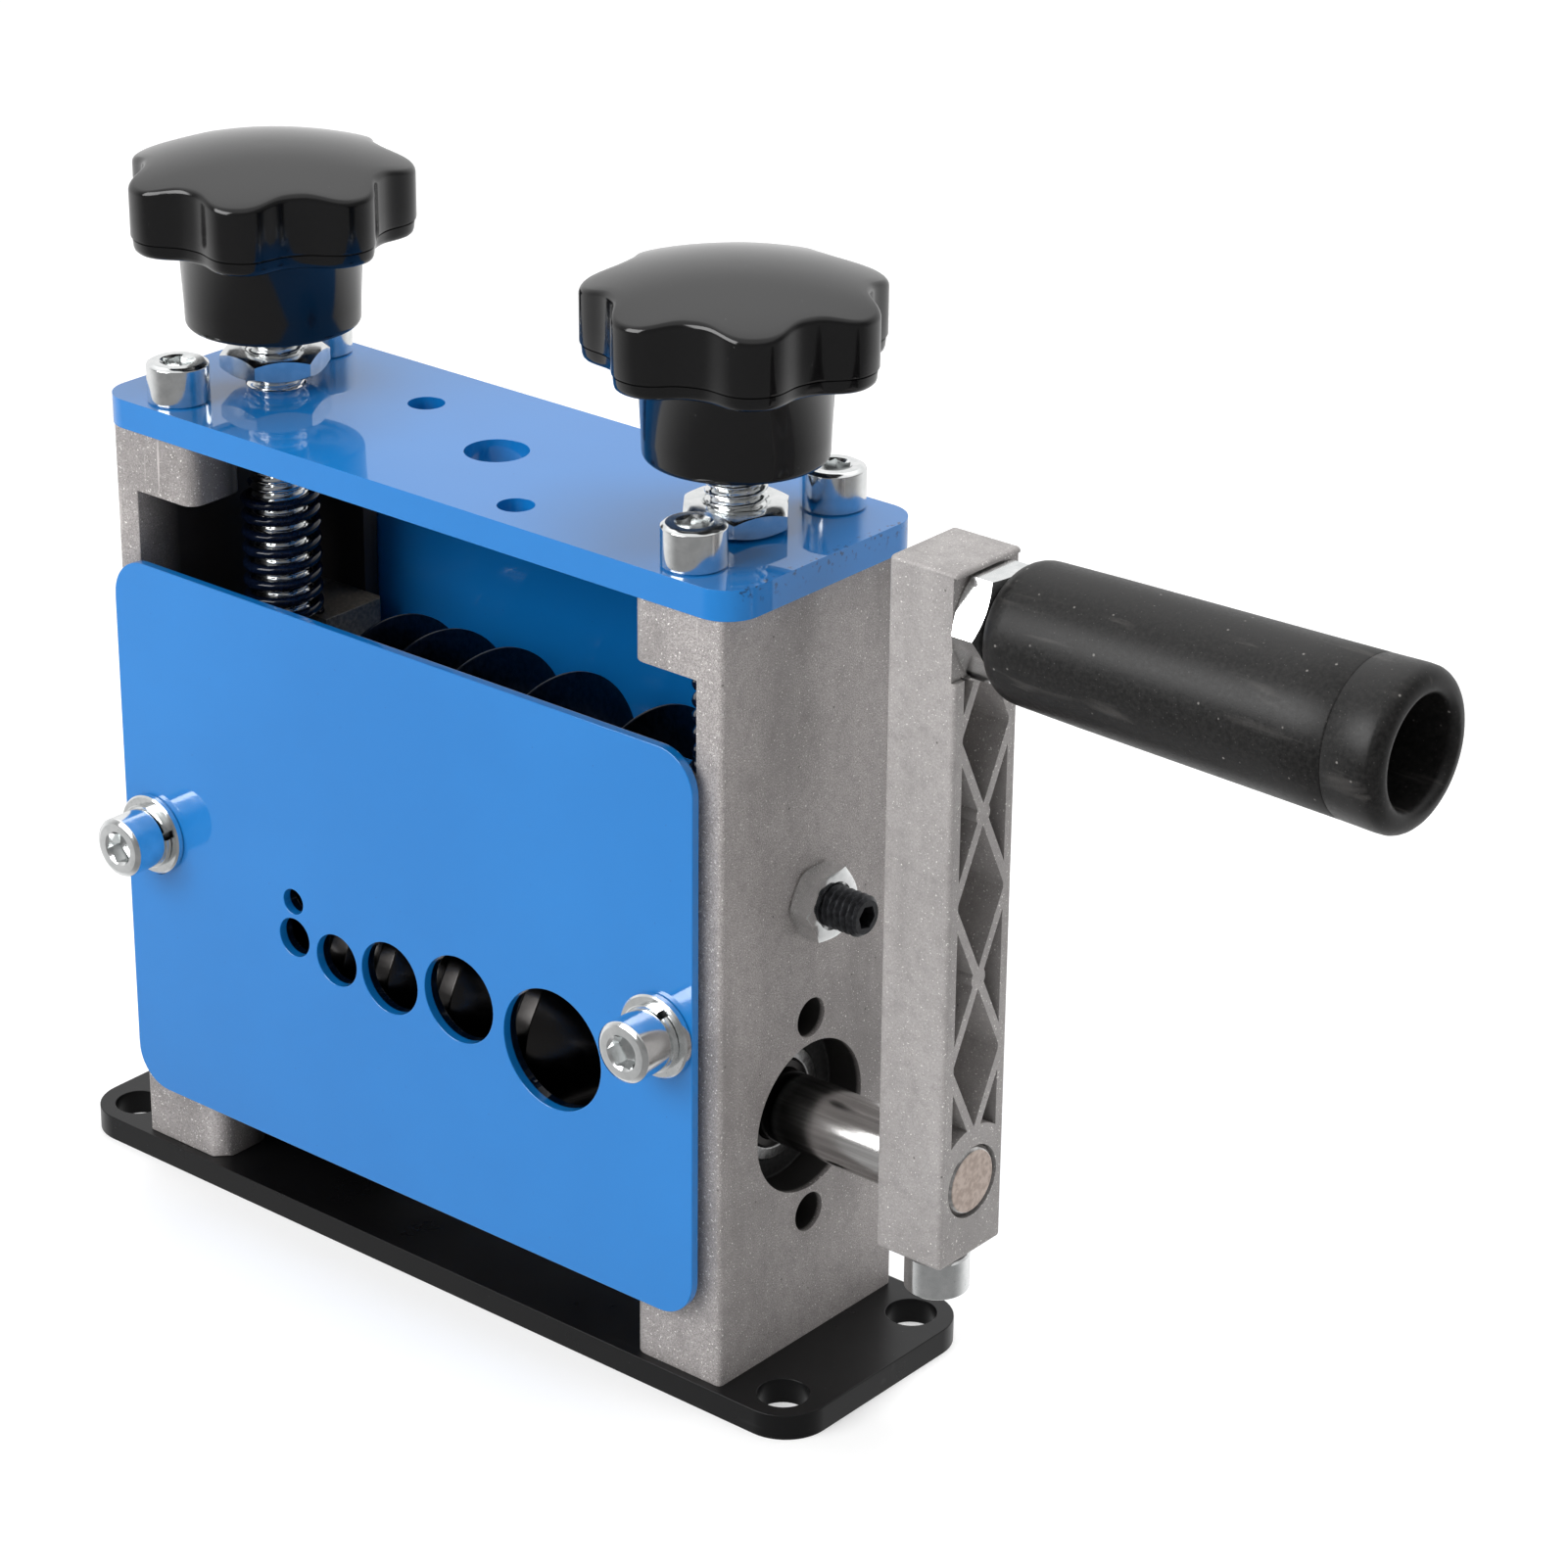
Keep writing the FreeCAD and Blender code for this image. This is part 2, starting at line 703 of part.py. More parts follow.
def make_top_plate_screws():
    screws = []
    for x_sign in (-1, 1):
        for y_sign in (-1, 1):
            name = f"top_screw_{len(screws) + 1}"
            x = f"{x_sign} * {TOP_SCREW_SPAN} / 2"
            y = f"{y_sign} * top_screw_span_y / 2"
            screws.append(cap_screw(name, "screw_length", x, y, TOP_FACE))
    return group("top_plate_screws", screws)


# ------------------------------------------------ guide plate and back plate

def upright_plate(name, offset, reverse):
    """A flat plate with rounded corners that hangs across the side frames."""
    body = new_body(name)
    profile = sketch_on(body, name + "_outline", "XZ_Plane", offset)
    half = f"{PLATE_WIDTH} / 2"
    rectangle(profile, f"plate_shift - {half}", "plate_bottom", f"plate_shift + {half}", PLATE_TOP)
    extrude(body, "Pad", profile, "plate_thickness", reverse)
    soften(body, "Fillet", "plate_corner", level_edge(half))
    return body


def level_edge(half):
    """A test for the edges through a plate at this distance from its middle."""
    def test(edge):
        reach = abs(edge.CenterOfMass.x - value("plate_shift"))
        return along(edge, Vector(0, 1, 0)) and close(reach, value(half))
    return test


def add_slots(body, offset):
    """Upright slots, so that the plate can be raised on its screws."""
    slots = sketch_on(body, body.Name + "_slots", "XZ_Plane", offset)
    low = "plate_screw_height - guide_travel"
    for side in (-1, 1):
        slot(slots, plate_screw_x(side), low, "plate_screw_height", f"({SCREW_HOLE} / 2)")
    extrude(body, "Pocket", slots, "plate_thickness")


def slot(sketch, middle, low, high, radius):
    """An upright slot with round ends whose centres lie at the low and high ends."""
    centre = value(middle)
    size = value(radius)
    bottom = Part.Circle(Vector(centre, value(low), 0), Vector(0, 0, 1), size)
    top = Part.Circle(Vector(centre, value(high), 0), Vector(0, 0, 1), size)
    lower = sketch.addGeometry(Part.ArcOfCircle(bottom, math.pi, 2 * math.pi), False)
    upper = sketch.addGeometry(Part.ArcOfCircle(top, 0, math.pi), False)
    right_low = Vector(centre + size, value(low), 0)
    right_high = Vector(centre + size, value(high), 0)
    left_low = Vector(centre - size, value(low), 0)
    left_high = Vector(centre - size, value(high), 0)
    right_side = sketch.addGeometry(Part.LineSegment(right_low, right_high), False)
    left_side = sketch.addGeometry(Part.LineSegment(left_high, left_low), False)
    constraints = [
        (Sketcher.Constraint("Tangent", lower, 2, right_side, 1), None),
        (Sketcher.Constraint("Tangent", right_side, 2, upper, 1), None),
        (Sketcher.Constraint("Tangent", upper, 2, left_side, 1), None),
        (Sketcher.Constraint("Tangent", left_side, 2, lower, 1), None),
        (Sketcher.Constraint("Radius", lower, size), radius),
    ]
    constraints.extend(pins(lower, 3, middle, low))
    constraints.extend(pins(upper, 3, middle, high))
    bind(sketch, constraints)


def make_front_guide_plate():
    """The plate that the cable is fed through: six holes, small to large."""
    body = upright_plate("front_guide_plate", HALF_DEPTH, False)
    add_slots(body, PLATE_FACE)
    holes = sketch_on(body, "guide_holes", "XZ_Plane", PLATE_FACE)
    for number in range(1, 7):
        x = f"guide_{number}_x * {LANE_SCALE}"
        circle(holes, x, f"guide_{number}_z", f"guide_{number} * {LANE_SCALE}")
    extrude(body, "Pocket", holes, "plate_thickness", False)
    return body


def make_back_plate():
    """The same plate behind, with one long opening where wire and sheath come out."""
    body = upright_plate("back_plate", f"-{HALF_DEPTH}", True)
    holes = sketch_on(body, "back_plate_holes", "XZ_Plane", f"-{PLATE_FACE}")
    for side in (-1, 1):
        circle(holes, plate_screw_x(side), "plate_screw_height", SCREW_HOLE)
    extrude(body, "Pocket", holes, "plate_thickness", True)
    window = sketch_on(body, "exit_opening", "XZ_Plane", f"-{PLATE_FACE}")
    low = "exit_centre_height - exit_height / 2"
    high = "exit_centre_height + exit_height / 2"
    rectangle(window, f"plate_shift - {EXIT_HALF}", low, f"plate_shift + {EXIT_HALF}", high)
    extrude(body, "Pocket", window, "plate_thickness", True)
    soften(body, "Fillet", "plate_corner", level_edge(EXIT_HALF))
    return body


def ring(name, outside, inside, thickness, x, y, z, turned):
    """A washer or bush whose axis points the way it is turned."""
    disc = cylinder(name + "_disc", f"({outside}) / 2", thickness)
    washer = cut(name, disc, cylinder(name + "_bore", f"({inside}) / 2", thickness))
    return place(washer, x, y, z, turned)


def make_plate_fasteners(end, y_sign):
    """Cap screw, spring washer and flat washer for each side of an upright plate."""
    turned = AGAINST_Y if y_sign < 0 else ALONG_Y
    screws = []
    springs = []
    flats = []
    for side, word in ((-1, "left"), (1, "right")):
        x = plate_screw_x(side)
        z = "plate_screw_height"
        name = f"{end}_{word}"
        face = f"{y_sign} * {PLATE_FACE}"
        flats.append(ring(name + "_flat", "washer", "screw + 2 * screw_clearance", "washer_thick",
                          x, face, z, turned))
        above = f"{y_sign} * ({PLATE_FACE} + washer_thick)"
        springs.append(split_ring(name + "_spring", x, above, z, turned))
        head = f"{y_sign} * ({PLATE_FACE} + washer_thick + spring_washer_thick)"
        screws.append(cap_screw(name + "_screw", "plate_screw_length", x, head, z, turned))
    group(f"{end}_plate_screws", screws)
    group(f"{end}_spring_washers", springs)
    group(f"{end}_flat_washers", flats)


def split_ring(name, x, y, z, turned):
    """A spring washer: a square-section ring with a slanting cut."""
    body = cylinder(name + "_disc", "spring_washer / 2", "spring_washer_thick")
    bore = cylinder(name + "_bore", "screw / 2 + screw_clearance", "spring_washer_thick")
    height = "2 * spring_washer_thick"
    gap = primitive("Box", name + "_gap", Length="spring_washer", Width="split_gap", Height=height)
    place(gap, z="-spring_washer_thick / 2", turn=Rotation(Vector(1, 0, 0), value("split_angle")))
    ring_blank = cut(name + "_ring", body, bore)
    return place(cut(name, ring_blank, gap), x, y, z, turned)


# ------------------------------------------------------------- feed roller

def make_roller_bearing(side, word):
    """Outer ring with its seals in the frame, and the inner ring on the shaft."""
    turned = ALONG_X if side > 0 else AGAINST_X
    x = f"{side} * {BEARING_IN}"
    seal_bore = "inner_race_outside + 2 * running_clearance"
    ring(f"{word}_bearing_outer_ring", "bearing_outside", seal_bore, "bearing_width",
         x, "0", "roller_axis_height", turned)
    ring(f"{word}_bearing_inner_ring", "inner_race_outside", "bearing_inside", "bearing_width",
         x, "0", "roller_axis_height", turned)


def groove_place(number):
    """X of a groove's middle, which is also that of the blade above it."""
    return f"((guide_{number}_x - groove_lead) * {LANE_SCALE})"


def make_feed_roller():
    """Roller and shaft in one: five V grooves, bearing journals and the crank's seat."""
    body = new_body("feed_roller")
    place(body, z="roller_axis_height")
    blank = sketch_on(body, "roller_blank", "XZ_Plane")
    left_end = f"-({SIDE_FACE} - shaft_recess)"
    journal = "bearing_inside / 2"
    shoulder = "roller_shoulder / 2"
    seat = "crank_seat / 2"
    outline(blank, [
        (left_end, "0"), (left_end, f"{journal} - shaft_chamfer"),
        (f"{left_end} + shaft_chamfer", journal), (f"-{BEARING_IN}", journal),
        (f"-{BEARING_IN}", shoulder), (f"-{ROLLER_HALF}", shoulder),
        (f"-{ROLLER_HALF}", "roller_radius"), (ROLLER_HALF, "roller_radius"),
        (ROLLER_HALF, shoulder), (BEARING_IN, shoulder),
        (BEARING_IN, journal), (BEARING_OUT, journal),
        (BEARING_OUT, seat), (f"{CRANK_OUT} - stud_bevel", seat),
        (CRANK_OUT, f"{seat} - stud_bevel"), (CRANK_OUT, "0"),
    ])
    turn(body, "Revolution", blank)
    for number in GROOVES:
        profile = sketch_on(body, f"groove_profile_{number}", "XZ_Plane")
        centre = groove_place(number)
        half = f"groove_{number} * {LANE_SCALE} / 2"
        floor = f"roller_radius - groove_{number} * {LANE_SCALE} * groove_slope"
        outline(profile, [
            (f"{centre} - {half}", "roller_radius + groove_bevel"), (f"{centre} - {half}", "roller_radius"),
            (f"{centre} - groove_floor / 2", floor), (f"{centre} + groove_floor / 2", floor),
            (f"{centre} + {half}", "roller_radius"), (f"{centre} + {half}", "roller_radius + groove_bevel"),
        ])
        turn(body, "Groove", profile)
    return body


# ------------------------------------------------------- blades and carriage

def blade_face(number, side):
    """X of a blade's left or right face."""
    return f"({groove_place(number)} + {side} * blade_thick / 2)"


def make_blade(number):
    """A hardened disc whose rim is ground to a narrow edge from both sides."""
    body = new_body(f"cutting_blade_{number - 1}")
    place(body, groove_place(number), "0", BLADE_AXIS)
    profile = sketch_on(body, f"blade_profile_{number}", "XZ_Plane")
    outline(profile, [
        ("-blade_thick / 2", "arbor / 2"), ("blade_thick / 2", "arbor / 2"),
        ("blade_thick / 2", "blade_radius - blade_bevel"), ("blade_land / 2", "blade_radius"),
        ("-blade_land / 2", "blade_radius"), ("-blade_thick / 2", "blade_radius - blade_bevel"),
    ])
    turn(body, "Revolution", profile)
    return body


def spacer(name, left, right):
    return ring(name, "spacer", "arbor", f"{right} - {left}", left, "0", BLADE_AXIS, ALONG_X)


COLLAR_END = f"(-{BLOCK_INNER} + arbor_collar_gap)"
COLLAR_FACE = f"({COLLAR_END} + arbor_collar_thick)"
LAST_FACE = blade_face(6, 1)
ARBOR_NUT_THICK = f"(arbor_nut_thick * {LANE_SCALE})"


def make_blade_shaft():
    """Arbor with a fixed collar at the left, journals at both ends and a thread at the right."""
    body = new_body("blade_shaft")
    place(body, z=BLADE_AXIS)
    profile = sketch_on(body, "arbor_profile", "XZ_Plane")
    step = f"(-{BLOCK_INNER} + arbor_gap)"
    thread_end = f"({LAST_FACE} + {ARBOR_NUT_THICK} + arbor_run_out)"
    outline(profile, [
        (f"-{JOURNAL_END}", "0"), (f"-{JOURNAL_END}", "journal / 2 - pin_bevel"),
        (f"-{JOURNAL_END} + pin_bevel", "journal / 2"), (step, "journal / 2"),
        (step, "arbor / 2"), (COLLAR_END, "arbor / 2"),
        (COLLAR_END, "arbor_collar / 2"), (COLLAR_FACE, "arbor_collar / 2"),
        (COLLAR_FACE, "arbor / 2"), (thread_end, "arbor / 2"),
        (thread_end, "journal / 2"), (f"{JOURNAL_END} - pin_bevel", "journal / 2"),
        (JOURNAL_END, "journal / 2 - pin_bevel"), (JOURNAL_END, "0"),
    ])
    turn(body, "Revolution", profile)
    return body


def make_blade_stack():
    """Blades, the sleeves that space them, and the nut that clamps them on the arbor."""
    for number in GROOVES:
        make_blade(number)
    sleeves = [spacer("spacer_1", COLLAR_FACE, blade_face(2, -1))]
    for number in list(GROOVES)[:-1]:
        sleeves.append(spacer(f"spacer_{number}", blade_face(number, 1), blade_face(number + 1, -1)))
    group("blade_spacers", sleeves)
    blank = hexagon("blade_nut_blank", "arbor_nut_flats", ARBOR_NUT_THICK)
    bore = cylinder("blade_nut_bore", "arbor / 2", ARBOR_NUT_THICK)
    place(cut("blade_nut", blank, bore), LAST_FACE, "0", BLADE_AXIS, ALONG_X)


def make_bearing_block(side, word):
    """A block that slides in its frame; a T slot takes the foot of the adjusting screw."""
    body = new_body(f"{word}_bearing_block")
    place(body, z=BLADE_AXIS)
    profile = sketch_on(body, f"{word}_block_outline", "XY_Plane", "-block_below")
    inner = f"{side} * {BLOCK_INNER}"
    outer = f"{side} * {BLOCK_OUTER}"
    half = f"({CHANNEL} - slide_clearance)"
    outline(profile, [(inner, f"-{half}"), (outer, f"-{half}"), (outer, half), (inner, half)])
    extrude(body, "Pad", profile, "block_below + block_above")

    bore = sketch_on(body, f"{word}_block_bore", "YZ_Plane", inner)
    circle(bore, "0", "0", "bush_outside")
    extrude(body, "Pocket", bore, "bush_length", reverse=side > 0)
    cover = "(block_above - adjuster_cover)"
    floor = f"({cover} - adjuster_foot_thick - foot_clearance)"
    neck_radius = "(adjuster_neck / 2 + foot_clearance)"
    foot_radius = "(adjuster_foot / 2 + foot_clearance)"
    t_slot(body, f"{word}_neck_slot", side, neck_radius, f"{cover} - slide_clearance", "block_above")
    t_slot(body, f"{word}_foot_slot", side, foot_radius, floor, cover)
    soften(body, "Chamfer", "block_chamfer", block_edge)
    return body


def t_slot(body, name, side, radius, low, high):
    """A slot from the block's inner face to a round end about the adjusting screw."""
    profile = sketch_on(body, name, "XY_Plane", high)
    inner = f"{side} * {BLOCK_INNER}"
    middle = f"{side} * {ADJUSTER_X}"
    corners = [(inner, f"-{radius}"), (middle, f"-{radius}"), (middle, radius), (inner, radius)]
    outline(profile, corners, {1: (f"{radius} + {ARC_SLACK}", -side)})
    extrude(body, "Pocket", profile, f"{high} - ({low})")


def block_edge(edge):
    """The long upright corners of a bearing block."""
    return along(edge, Vector(0, 0, 1)) and edge.Length > value("block_below + block_above") - 0.01


def make_block_bushes():
    """Bronze bushes in the sliding blocks."""
    bore = "journal + 2 * running_clearance"
    bushes = []
    for side, turned in ((-1, AGAINST_X), (1, ALONG_X)):
        x = f"{side} * {BLOCK_INNER}"
        name = f"bush_{len(bushes) + 1}"
        bushes.append(ring(name, "bush_outside", bore, "bush_length", x, "0", BLADE_AXIS, turned))
    group("block_bushes", bushes)


# ------------------------------------------- adjusting screws, springs, knobs

def knob_foot(word):
    """Height of a knob's hub, which differs a little from side to side."""
    return f"({TOP_FACE} + {word}_knob_gap)"


def make_adjusting_screw(side, word):
    """A stud with a foot that lifts the block and a long thread up into its knob."""
    body = new_body(f"{word}_adjusting_screw")
    place(body, f"{side} * {ADJUSTER_X}")
    profile = sketch_on(body, f"{word}_stud_profile", "XZ_Plane")
    foot_top = f"({BLOCK_TOP} - adjuster_cover - foot_clearance / 2)"
    foot_low = f"({BLOCK_TOP} - adjuster_cover - adjuster_foot_thick + foot_clearance / 2)"
    thread_low = f"({BLOCK_TOP} + foot_clearance)"
    top = f"({knob_foot(word)} + knob_screw_depth)"
    thread = "(adjuster / 2)"
    outline(profile, [
        ("0", foot_low), ("adjuster_foot / 2", foot_low), ("adjuster_foot / 2", foot_top),
        ("adjuster_neck / 2", foot_top), ("adjuster_neck / 2", thread_low),
        (f"{thread} - pin_bevel", thread_low), (thread, f"{thread_low} + pin_bevel"),
        (thread, f"{top} - stud_bevel"), (f"{thread} - stud_bevel", top), ("0", top),
    ])
    turn(body, "Revolution", profile, "V_Axis")
    return body


def chamfered_nut(name, flats, thickness, bore, x, y, z, turned=UPRIGHT):
    """A hexagon nut with its corners turned off at both ends."""
    blank = hexagon(name + "_blank", flats, thickness)
    narrow = f"{flats} / 2"
    wide = f"{flats} / 2 / cos(30) + {thickness} / tan(30)"
    upper = cone(name + "_upper", wide, narrow, thickness)
    lower = cone(name + "_lower", narrow, wide, thickness)
    turned_blank = common(name + "_top", common(name + "_bottom", blank, lower), upper)
    nut = cut(name, turned_blank, cylinder(name + "_bore", f"({bore}) / 2", thickness))
    return place(nut, x, y, z, turned)


def make_jam_nut(side, word):
    gap = f"{word}_nut_gap"
    return chamfered_nut(f"{word}_jam_nut", "jam_nut_flats", "jam_nut_thick", "adjuster",
                         f"{side} * {ADJUSTER_X}", "0", f"{TOP_FACE} + {gap}", about_z(f"{word}_nut_turn"))


def make_knob(side, word):
    """A seven-lobed moulded knob: lobed disc, domed top, tapered skirt and a round hub."""
    body = new_body(f"{word}_knob")
    place(body, f"{side} * {ADJUSTER_X}", "0", knob_foot(word), about_z(f"{word}_knob_turn"))
    head = sketch_on(body, f"{word}_knob_disc", "XY_Plane", "knob_hub_length")
    circle(head, "0", "0", "2 * knob_radius")
    extrude(body, "Pad", head, "knob_head_edge + knob_dome")
    scallop = sketch_on(body, f"{word}_knob_scallop", "XY_Plane", "knob_hub_length")
    circle(scallop, "knob_scallop_place", "0", "2 * knob_scallop")
    bite = extrude(body, "Pocket", scallop, "knob_head_edge + knob_dome", reverse=True)
    polar(body, bite, scallop, "N_Axis", KNOB_LOBES)

    def lobe_edge(edge):
        return along(edge, Vector(0, 0, 1))

    soften(body, "Fillet", "knob_lobe_round", lobe_edge)
    base = "knob_hub_length"
    hub = sketch_on(body, f"{word}_knob_hub", "XZ_Plane")
    inside = f"{base} + knob_hub_bevel"
    outline(hub, [
        ("0", "0"), ("knob_hub_small / 2 - knob_hub_bevel", "0"), ("knob_hub_small / 2", "knob_hub_bevel"),
        ("knob_hub_large / 2", base), ("knob_hub_large / 2", inside), ("0", inside),
    ])
    turn(body, "Revolution", hub, "V_Axis")
    trim = sketch_on(body, f"{word}_knob_trim", "XZ_Plane")
    outside = "(knob_radius + knob_hub_bevel)"
    shoulder = f"({base} + knob_head_edge)"
    crown = f"({shoulder} + knob_dome)"
    rim = "(knob_radius - knob_edge_in)"
    above = f"({crown} + knob_hub_bevel)"
    outline(trim, [
        ("0", crown), (rim, shoulder), ("knob_radius", f"{shoulder} - knob_edge_drop"),
        (outside, f"{shoulder} - knob_edge_drop"), (outside, above), ("0", above),
    ], {0: ("knob_crown_radius", 1), 1: ("knob_edge_round", 1)})
    turn(body, "Groove", trim, "V_Axis")
    skirt = sketch_on(body, f"{word}_knob_skirt", "XZ_Plane")
    foot = "(knob_radius - knob_skirt)"
    outline(skirt, [
        (foot, base), ("knob_radius", f"{base} + knob_skirt"), (outside, f"{base} + knob_skirt"),
        (outside, f"{base} - knob_hub_bevel"), (foot, f"{base} - knob_hub_bevel"),
    ])
    turn(body, "Groove", skirt, "V_Axis")
    bore = sketch_on(body, f"{word}_knob_bore", "XY_Plane")
    circle(bore, "0", "0", "adjuster")
    extrude(body, "Pocket", bore, "knob_screw_depth", reverse=True)
    return body


def make_spring(side, word):
    """A spring that stands on the block round the adjusting screw, its ends ground flat."""
    body = new_body(f"{word}_spring_coil")
    place(body, f"{side} * {ADJUSTER_X}", "0", f"{BLOCK_TOP} - spring_wire / 2")
    wire = sketch_on(body, f"{word}_spring_wire", "XZ_Plane")
    corners = []
    for corner in range(WIRE_SIDES):
        angle = f"{(corner + 0.5) * 360 / WIRE_SIDES} deg"
        corners.append((f"spring_mean / 2 + spring_wire / 2 * cos({angle})", f"spring_wire / 2 * sin({angle})"))
    outline(wire, corners)
    coil = body.newObject("PartDesign::AdditiveHelix", f"{word}_spring_helix")
    coil.Profile = wire
    coil.ReferenceAxis = (wire, ["V_Axis"])
    coil.Mode = "pitch-height-angle"
    coil.setExpression("Pitch", sized("spring_pitch"))
    coil.setExpression("Height", sized(f"{SPRING_TOP} - {BLOCK_TOP} + spring_wire"))
    wire.Visibility = False
    doc.recompute()
    room = cylinder(f"{word}_spring_room", "spring_mean", f"{SPRING_TOP} - {BLOCK_TOP}")
    place(room, f"{side} * {ADJUSTER_X}", "0", BLOCK_TOP)
    return common(f"{word}_spring", body, room)


# -------------------------------------------------------------- crank arm

def make_crank_arm():
    """A cast arm with square ends: deep lattice recess outside, clamped on the shaft."""
    body = new_body("crank_arm")
    place(body, CRANK_IN, "0", "roller_axis_height")
    bar = sketch_on(body, "crank_bar", "YZ_Plane")
    top = "crank_radius + crank_above_handle"
    rectangle(bar, "-crank_width / 2", "-crank_below_axis", "crank_width / 2", top)
    extrude(body, "Pad", bar, "crank_thick")

    def long_edge(edge):
        return along(edge, Vector(0, 0, 1)) or along(edge, Vector(1, 0, 0)) or along(edge, Vector(0, 1, 0))

    soften(body, "Fillet", "crank_edge", long_edge)

    # The recess ends in arcs round the shaft boss and the handle boss.
    recess = sketch_on(body, "crank_recess_outline", "YZ_Plane", "crank_thick")
    half = "(crank_width / 2 - crank_rim)"
    rise = f"sqrt(crank_boss_ring ^ 2 - {half} ^ 2)"
    high = f"crank_radius - {rise}"
    outline(recess, [
        (f"-{half}", rise), (half, rise), (half, high), (f"-{half}", high),
    ], {0: ("crank_boss_ring", 1), 2: ("crank_boss_ring", 1)})
    extrude(body, "Pocket", recess, "crank_recess")

    for crossing in range(CRANK_CROSSINGS):
        for lean in (-1, 1):
            add_rib(body, crossing, lean)
    pips = sketch_on(body, "crank_pips", "YZ_Plane", "crank_thick")
    for crossing in range(1, CRANK_CROSSINGS - 1):
        circle(pips, "0", f"crank_rib_first + {crossing} * crank_rib_pitch", "2 * crank_pip")
    extrude(body, "Pad", pips, "crank_recess", reverse=True)

    seat = sketch_on(body, "crank_nut_seat", "YZ_Plane", "crank_thick")
    low = "crank_radius - handle_nut_room"
    rectangle(seat, "-crank_width", low, "crank_width", "crank_radius + handle_nut_room")
    extrude(body, "Pocket", seat, "handle_nut_seat")
    bores = sketch_on(body, "crank_bores", "YZ_Plane")
    circle(bores, "0", "0", "crank_seat + 2 * thread_clearance")
    circle(bores, "0", "crank_radius", "handle_bolt")
    extrude(body, "Pocket", bores, "crank_thick", reverse=True)
    clamp = sketch_on(body, "crank_clamp_hole", "XY_Plane", "-crank_below_axis")
    circle(clamp, "crank_thick / 2", "0", "screw")
    extrude(body, "Pocket", clamp, "crank_below_axis", reverse=True)
    return body


def add_rib(body, crossing, lean):
    """One slanting rib of the lattice, from rim to rim; the last stops at its crossing point."""
    reach = "(crank_width / 2 - crank_rim / 2)"
    centre = f"crank_rib_first + {crossing} * crank_rib_pitch"
    low = f"{centre} - crank_rib_pitch / 2"
    is_last = crossing == CRANK_CROSSINGS - 1
    high = centre if is_last else f"{centre} + crank_rib_pitch / 2"
    end = "0" if is_last else f"{lean} * {reach}"
    word = "left" if lean < 0 else "right"
    rib = sketch_on(body, f"crank_rib_{crossing}_{word}", "YZ_Plane", "crank_thick")
    outline(rib, [
        (f"-{lean} * {reach}", f"{low} - crank_rib"), (f"-{lean} * {reach}", f"{low} + crank_rib"),
        (end, f"{high} + crank_rib"), (end, f"{high} - crank_rib"),
    ])
    extrude(body, "Pad", rib, "crank_recess", reverse=True)


def make_crank_fasteners():
    """The screw that clamps the arm on the shaft, and the bolt and nut of the handle."""
    middle = f"{CRANK_IN} + crank_thick / 2"
    foot = "roller_axis_height - crank_below_axis - clamp_gap"
    length = "crank_below_axis + clamp_gap - crank_seat / 2"
    cap_screw("crank_clamp_screw", length, middle, "0", foot, DOWN)
    chamfered_nut("handle_nut", "handle_nut_flats", "handle_nut_thick", "handle_bolt",
                  NUT_SEAT, "0", HANDLE_HEIGHT, ALONG_X * CORNERS_ACROSS)
    body = new_body("handle_bolt")
    place(body, CRANK_IN, "0", HANDLE_HEIGHT)
    profile = sketch_on(body, "handle_bolt_profile", "XZ_Plane")
    head = f"({GRIP_NEAR} - {CRANK_IN} + grip_web + running_clearance)"
    outline(profile, [
        ("0", "0"), ("0", "handle_bolt / 2 - stud_bevel"), ("stud_bevel", "handle_bolt / 2"),
        (head, "handle_bolt / 2"),
        (head, "handle_bolt_head / 2"), (f"{head} + handle_bolt_head_thick", "handle_bolt_head / 2"),
        (f"{head} + handle_bolt_head_thick", "0"),
    ])
    turn(body, "Revolution", profile)
    socket = sketch_on(body, "handle_bolt_socket", "YZ_Plane", f"{head} + handle_bolt_head_thick")
    circle(socket, "0", "0", "handle_bolt_head / 2")
    extrude(body, "Pocket", socket, "handle_bolt_head_thick / 2")


def make_grip():
    """A turning hand grip that grows towards its open end."""
    body = new_body("grip")
    place(body, GRIP_NEAR, "0", HANDLE_HEIGHT)
    profile = sketch_on(body, "grip_profile", "XZ_Plane")
    bore = "(handle_bolt / 2 + running_clearance)"
    outline(profile, [
        ("0", bore), ("0", "grip_near_radius - grip_near_round"), ("grip_near_round", "grip_near_radius"),
        ("grip_length - grip_end_round", "grip_far_radius"), ("grip_length", "grip_end_radius"),
        ("grip_length", "grip_hole / 2"), ("grip_web", "grip_hole / 2"), ("grip_web", bore),
    ], {1: ("grip_near_round", 1), 3: ("grip_end_round", 1)})
    turn(body, "Revolution", profile)
    return body


# ------------------------------------------------------------- lock screws

def make_lock_screws():
    """A grub screw with its nut on each side frame, which holds the sliding block."""
    screws = []
    nuts = []
    for side, word in ((-1, "left"), (1, "right")):
        turned = ALONG_X if side > 0 else AGAINST_X
        name = f"{word}_lock"
        rod = cylinder(name + "_rod", "lock_screw / 2", "lock_length", "lock_reach - lock_length")
        socket = hexagon(name + "_socket", "lock_socket", "lock_socket", "lock_reach - lock_socket")
        face = f"{side} * {SIDE_FACE}"
        screws.append(place(cut(name + "_screw", rod, socket), face, "0", LOCK_HEIGHT, turned))
        nuts.append(chamfered_nut(name + "_nut", "lock_nut_flats", "lock_nut_thick", "lock_screw",
                                  face, "0", LOCK_HEIGHT, turned * CORNERS_ACROSS))
    group("side_lock_screws", screws)
    group("side_lock_nuts", nuts)


# --------------------------------------------------------------- assembly

